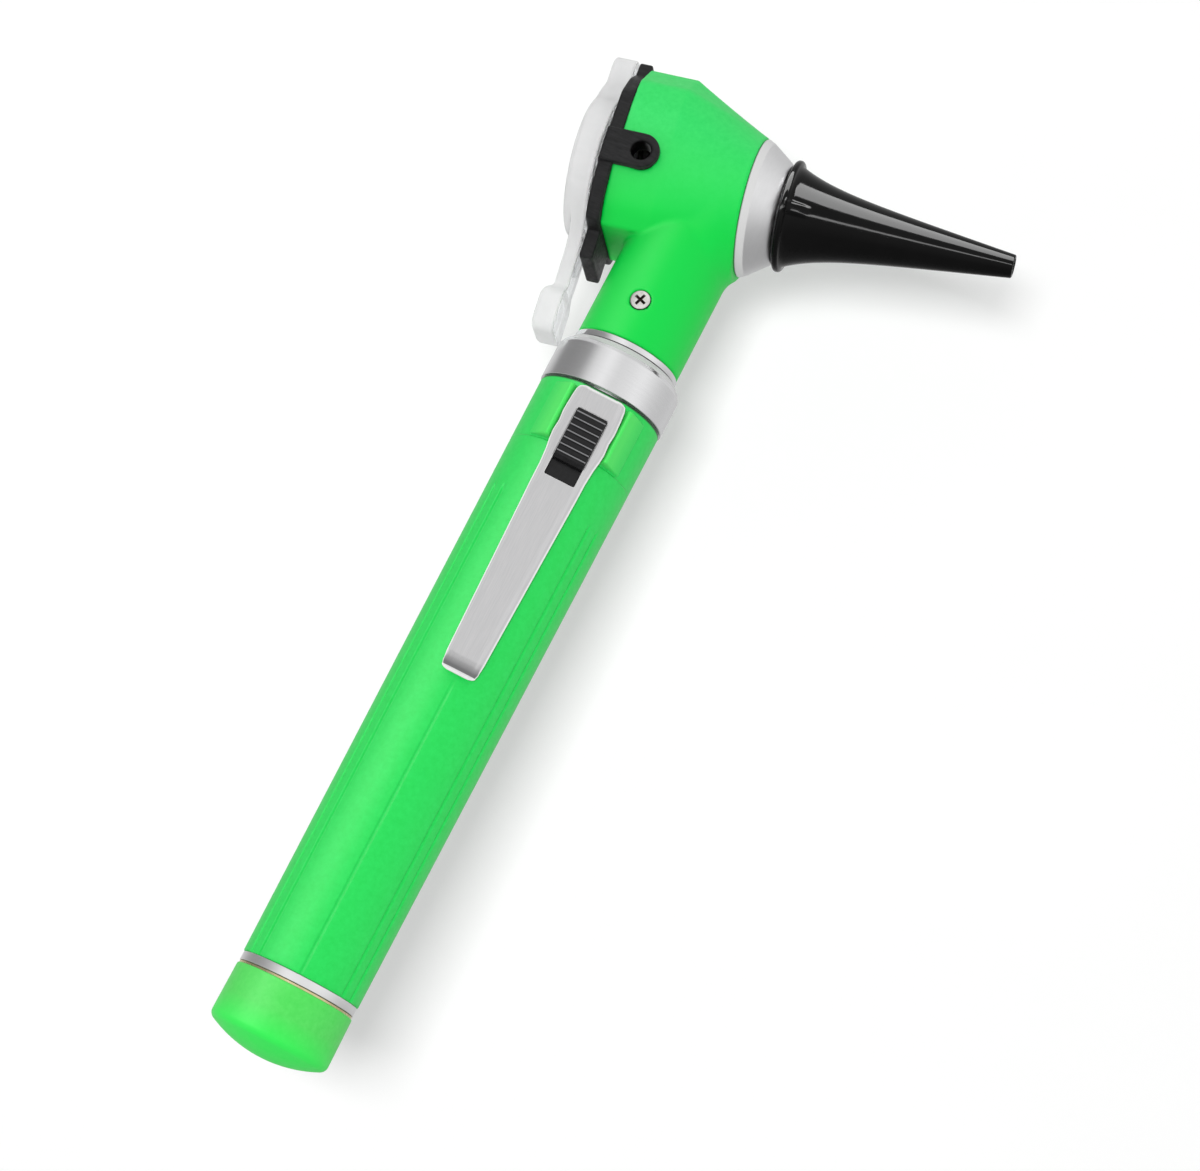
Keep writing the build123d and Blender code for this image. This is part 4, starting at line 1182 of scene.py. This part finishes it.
def add_studio():
    """Camera, lamps, pale floor and a pale sheet that catches the soft shadow."""
    right, up, back = add_camera()
    centre = CAMERA_TARGET
    flat_right, flat_up, _ = view_axes()
    add_world(flat_right, flat_up, up, back)
    shadow = add_light("front", centre + back * 700 - right * 50 + up * 38, centre, (90, 90), 2.5)
    shadow.visible_glossy = False
    ahead = Vector((30, 0, 156)) + OPTICAL * 150
    place = ahead - right * 60 + up * 290 + back * 88
    wide = add_light("streak_wide", place, ahead, (900, 235), 11.5, OPTICAL)
    place = ahead - right * 95 + up * 66 + back * 276
    thin = add_light("streak_thin", place, ahead, (900, 30), 1.2, OPTICAL)
    grip = Vector((0, 0, 80))
    place = grip - flat_right * 310 + flat_up * 100 + back * 250
    sheen = add_light("sheen", place, grip, (330, 480), 1.0)
    gleam_only(wide, "speculum_moulding")
    gleam_only(thin, "speculum_moulding")
    gleam_only(sheen, "handle_tube_shell", "end_cap_moulding", "head_housing_moulding")
    paper = one_sided("backdrop_paper", (1, 1, 1, 1), 0.97, 0.99, 2.4)
    add_sheet("backdrop", centre - back * BACKDROP_DEPTH, flat_right, flat_up, 900, paper)
    floor = one_sided("floor_paper", (0.86, 0.86, 0.86, 1), 0.0, 0.05, 0.75)
    add_sheet("floor", Vector((0, 0, -0.05)), Vector((1, 0, 0)), Vector((0, 1, 0)), 1500, floor)
    bpy.context.scene.view_settings.view_transform = "Standard"
    bpy.context.scene.view_settings.look = "None"


GREEN = green_plastic("green_plastic", linear(10, 204, 76), linear(26, 212, 86), grip_tones)
GREEN_CAP = green_plastic("green_cap", linear(66, 207, 78), linear(80, 214, 90), cap_tones)
GREEN_HEAD = green_plastic("green_head", linear(34, 207, 92), linear(48, 215, 102), head_tones)
SILVER = linear(238, 238, 239)
SATIN_UPRIGHT = turned_metal("satin_upright", SILVER, 0.17, 0.22, (300, 300, 5000), 0.0001, collar_rim_highlight)
SATIN_RING = turned_metal("satin_ring", linear(249, 249, 249), 0.34, 0.42, (300, 300, 5000), 0.0003)
SATIN_ALONG = turned_metal("satin_along", SILVER, 0.28, 0.36, (3000, 600, 600), 0.0003, cone_rim_highlight)
BRIGHT = linear(240, 240, 241)
BRIGHT_UPRIGHT = turned_metal("bright_upright", BRIGHT, 0.06, 0.12, (300, 300, 6000), 0.0004)
SCREW_STEEL = screw_steel()
CLIP_STEEL = clip_steel()
BLACK_PLATE = black_plate()
BLACK_SWITCH = black_switch()
SPECULUM_BLACK = speculum_plastic()
CLEAR_LENS = clear_lens()
SPRING = turned_metal("spring_steel", linear(168, 168, 170), 0.2, 0.32, (2000, 2000, 2000))
BRASS = plain("brass", linear(238, 226, 184), linear(224, 208, 156), 700, (1200, 0.22, 0.38), Metallic=1.0)
GLASS = {"Transmission_Weight": 0.9, "IOR": 1.5}
BULB_TINT = linear(246, 246, 242)
BULB = plain("bulb_glass", BULB_TINT, dimmed(BULB_TINT, 0.94), 1200, (1500, 0.018, 0.042), **GLASS)
FIBRE_TINT = linear(236, 232, 210)
FIBRE = plain("fibre_ends", FIBRE_TINT, dimmed(FIBRE_TINT, 0.94), 1200, (1500, 0.12, 0.28), **GLASS)
IVORY = (linear(214, 212, 205), linear(232, 230, 224))
WHITE = plain("insulator_white", *IVORY, 900, (1800, 0.37, 0.53), 0.02)
JACKET = plain("cell_jacket", linear(38, 42, 52), linear(58, 62, 74), 900, (1800, 0.22, 0.38), 0.02)
SEAL = plain("seal_rubber", linear(22, 22, 22), linear(38, 38, 38), 900, (1800, 0.52, 0.68), 0.02)

for build in (
    handle_tube, top_collar, bottom_ring, end_cap, pocket_clip, switch_slider, head_housing, neck_screw,
    head_base, nose_cone, nose_barrel, speculum, rear_plate, lens, finish_cad_nodes, add_studio,
):
    build()

bpy.context.view_layer.update()
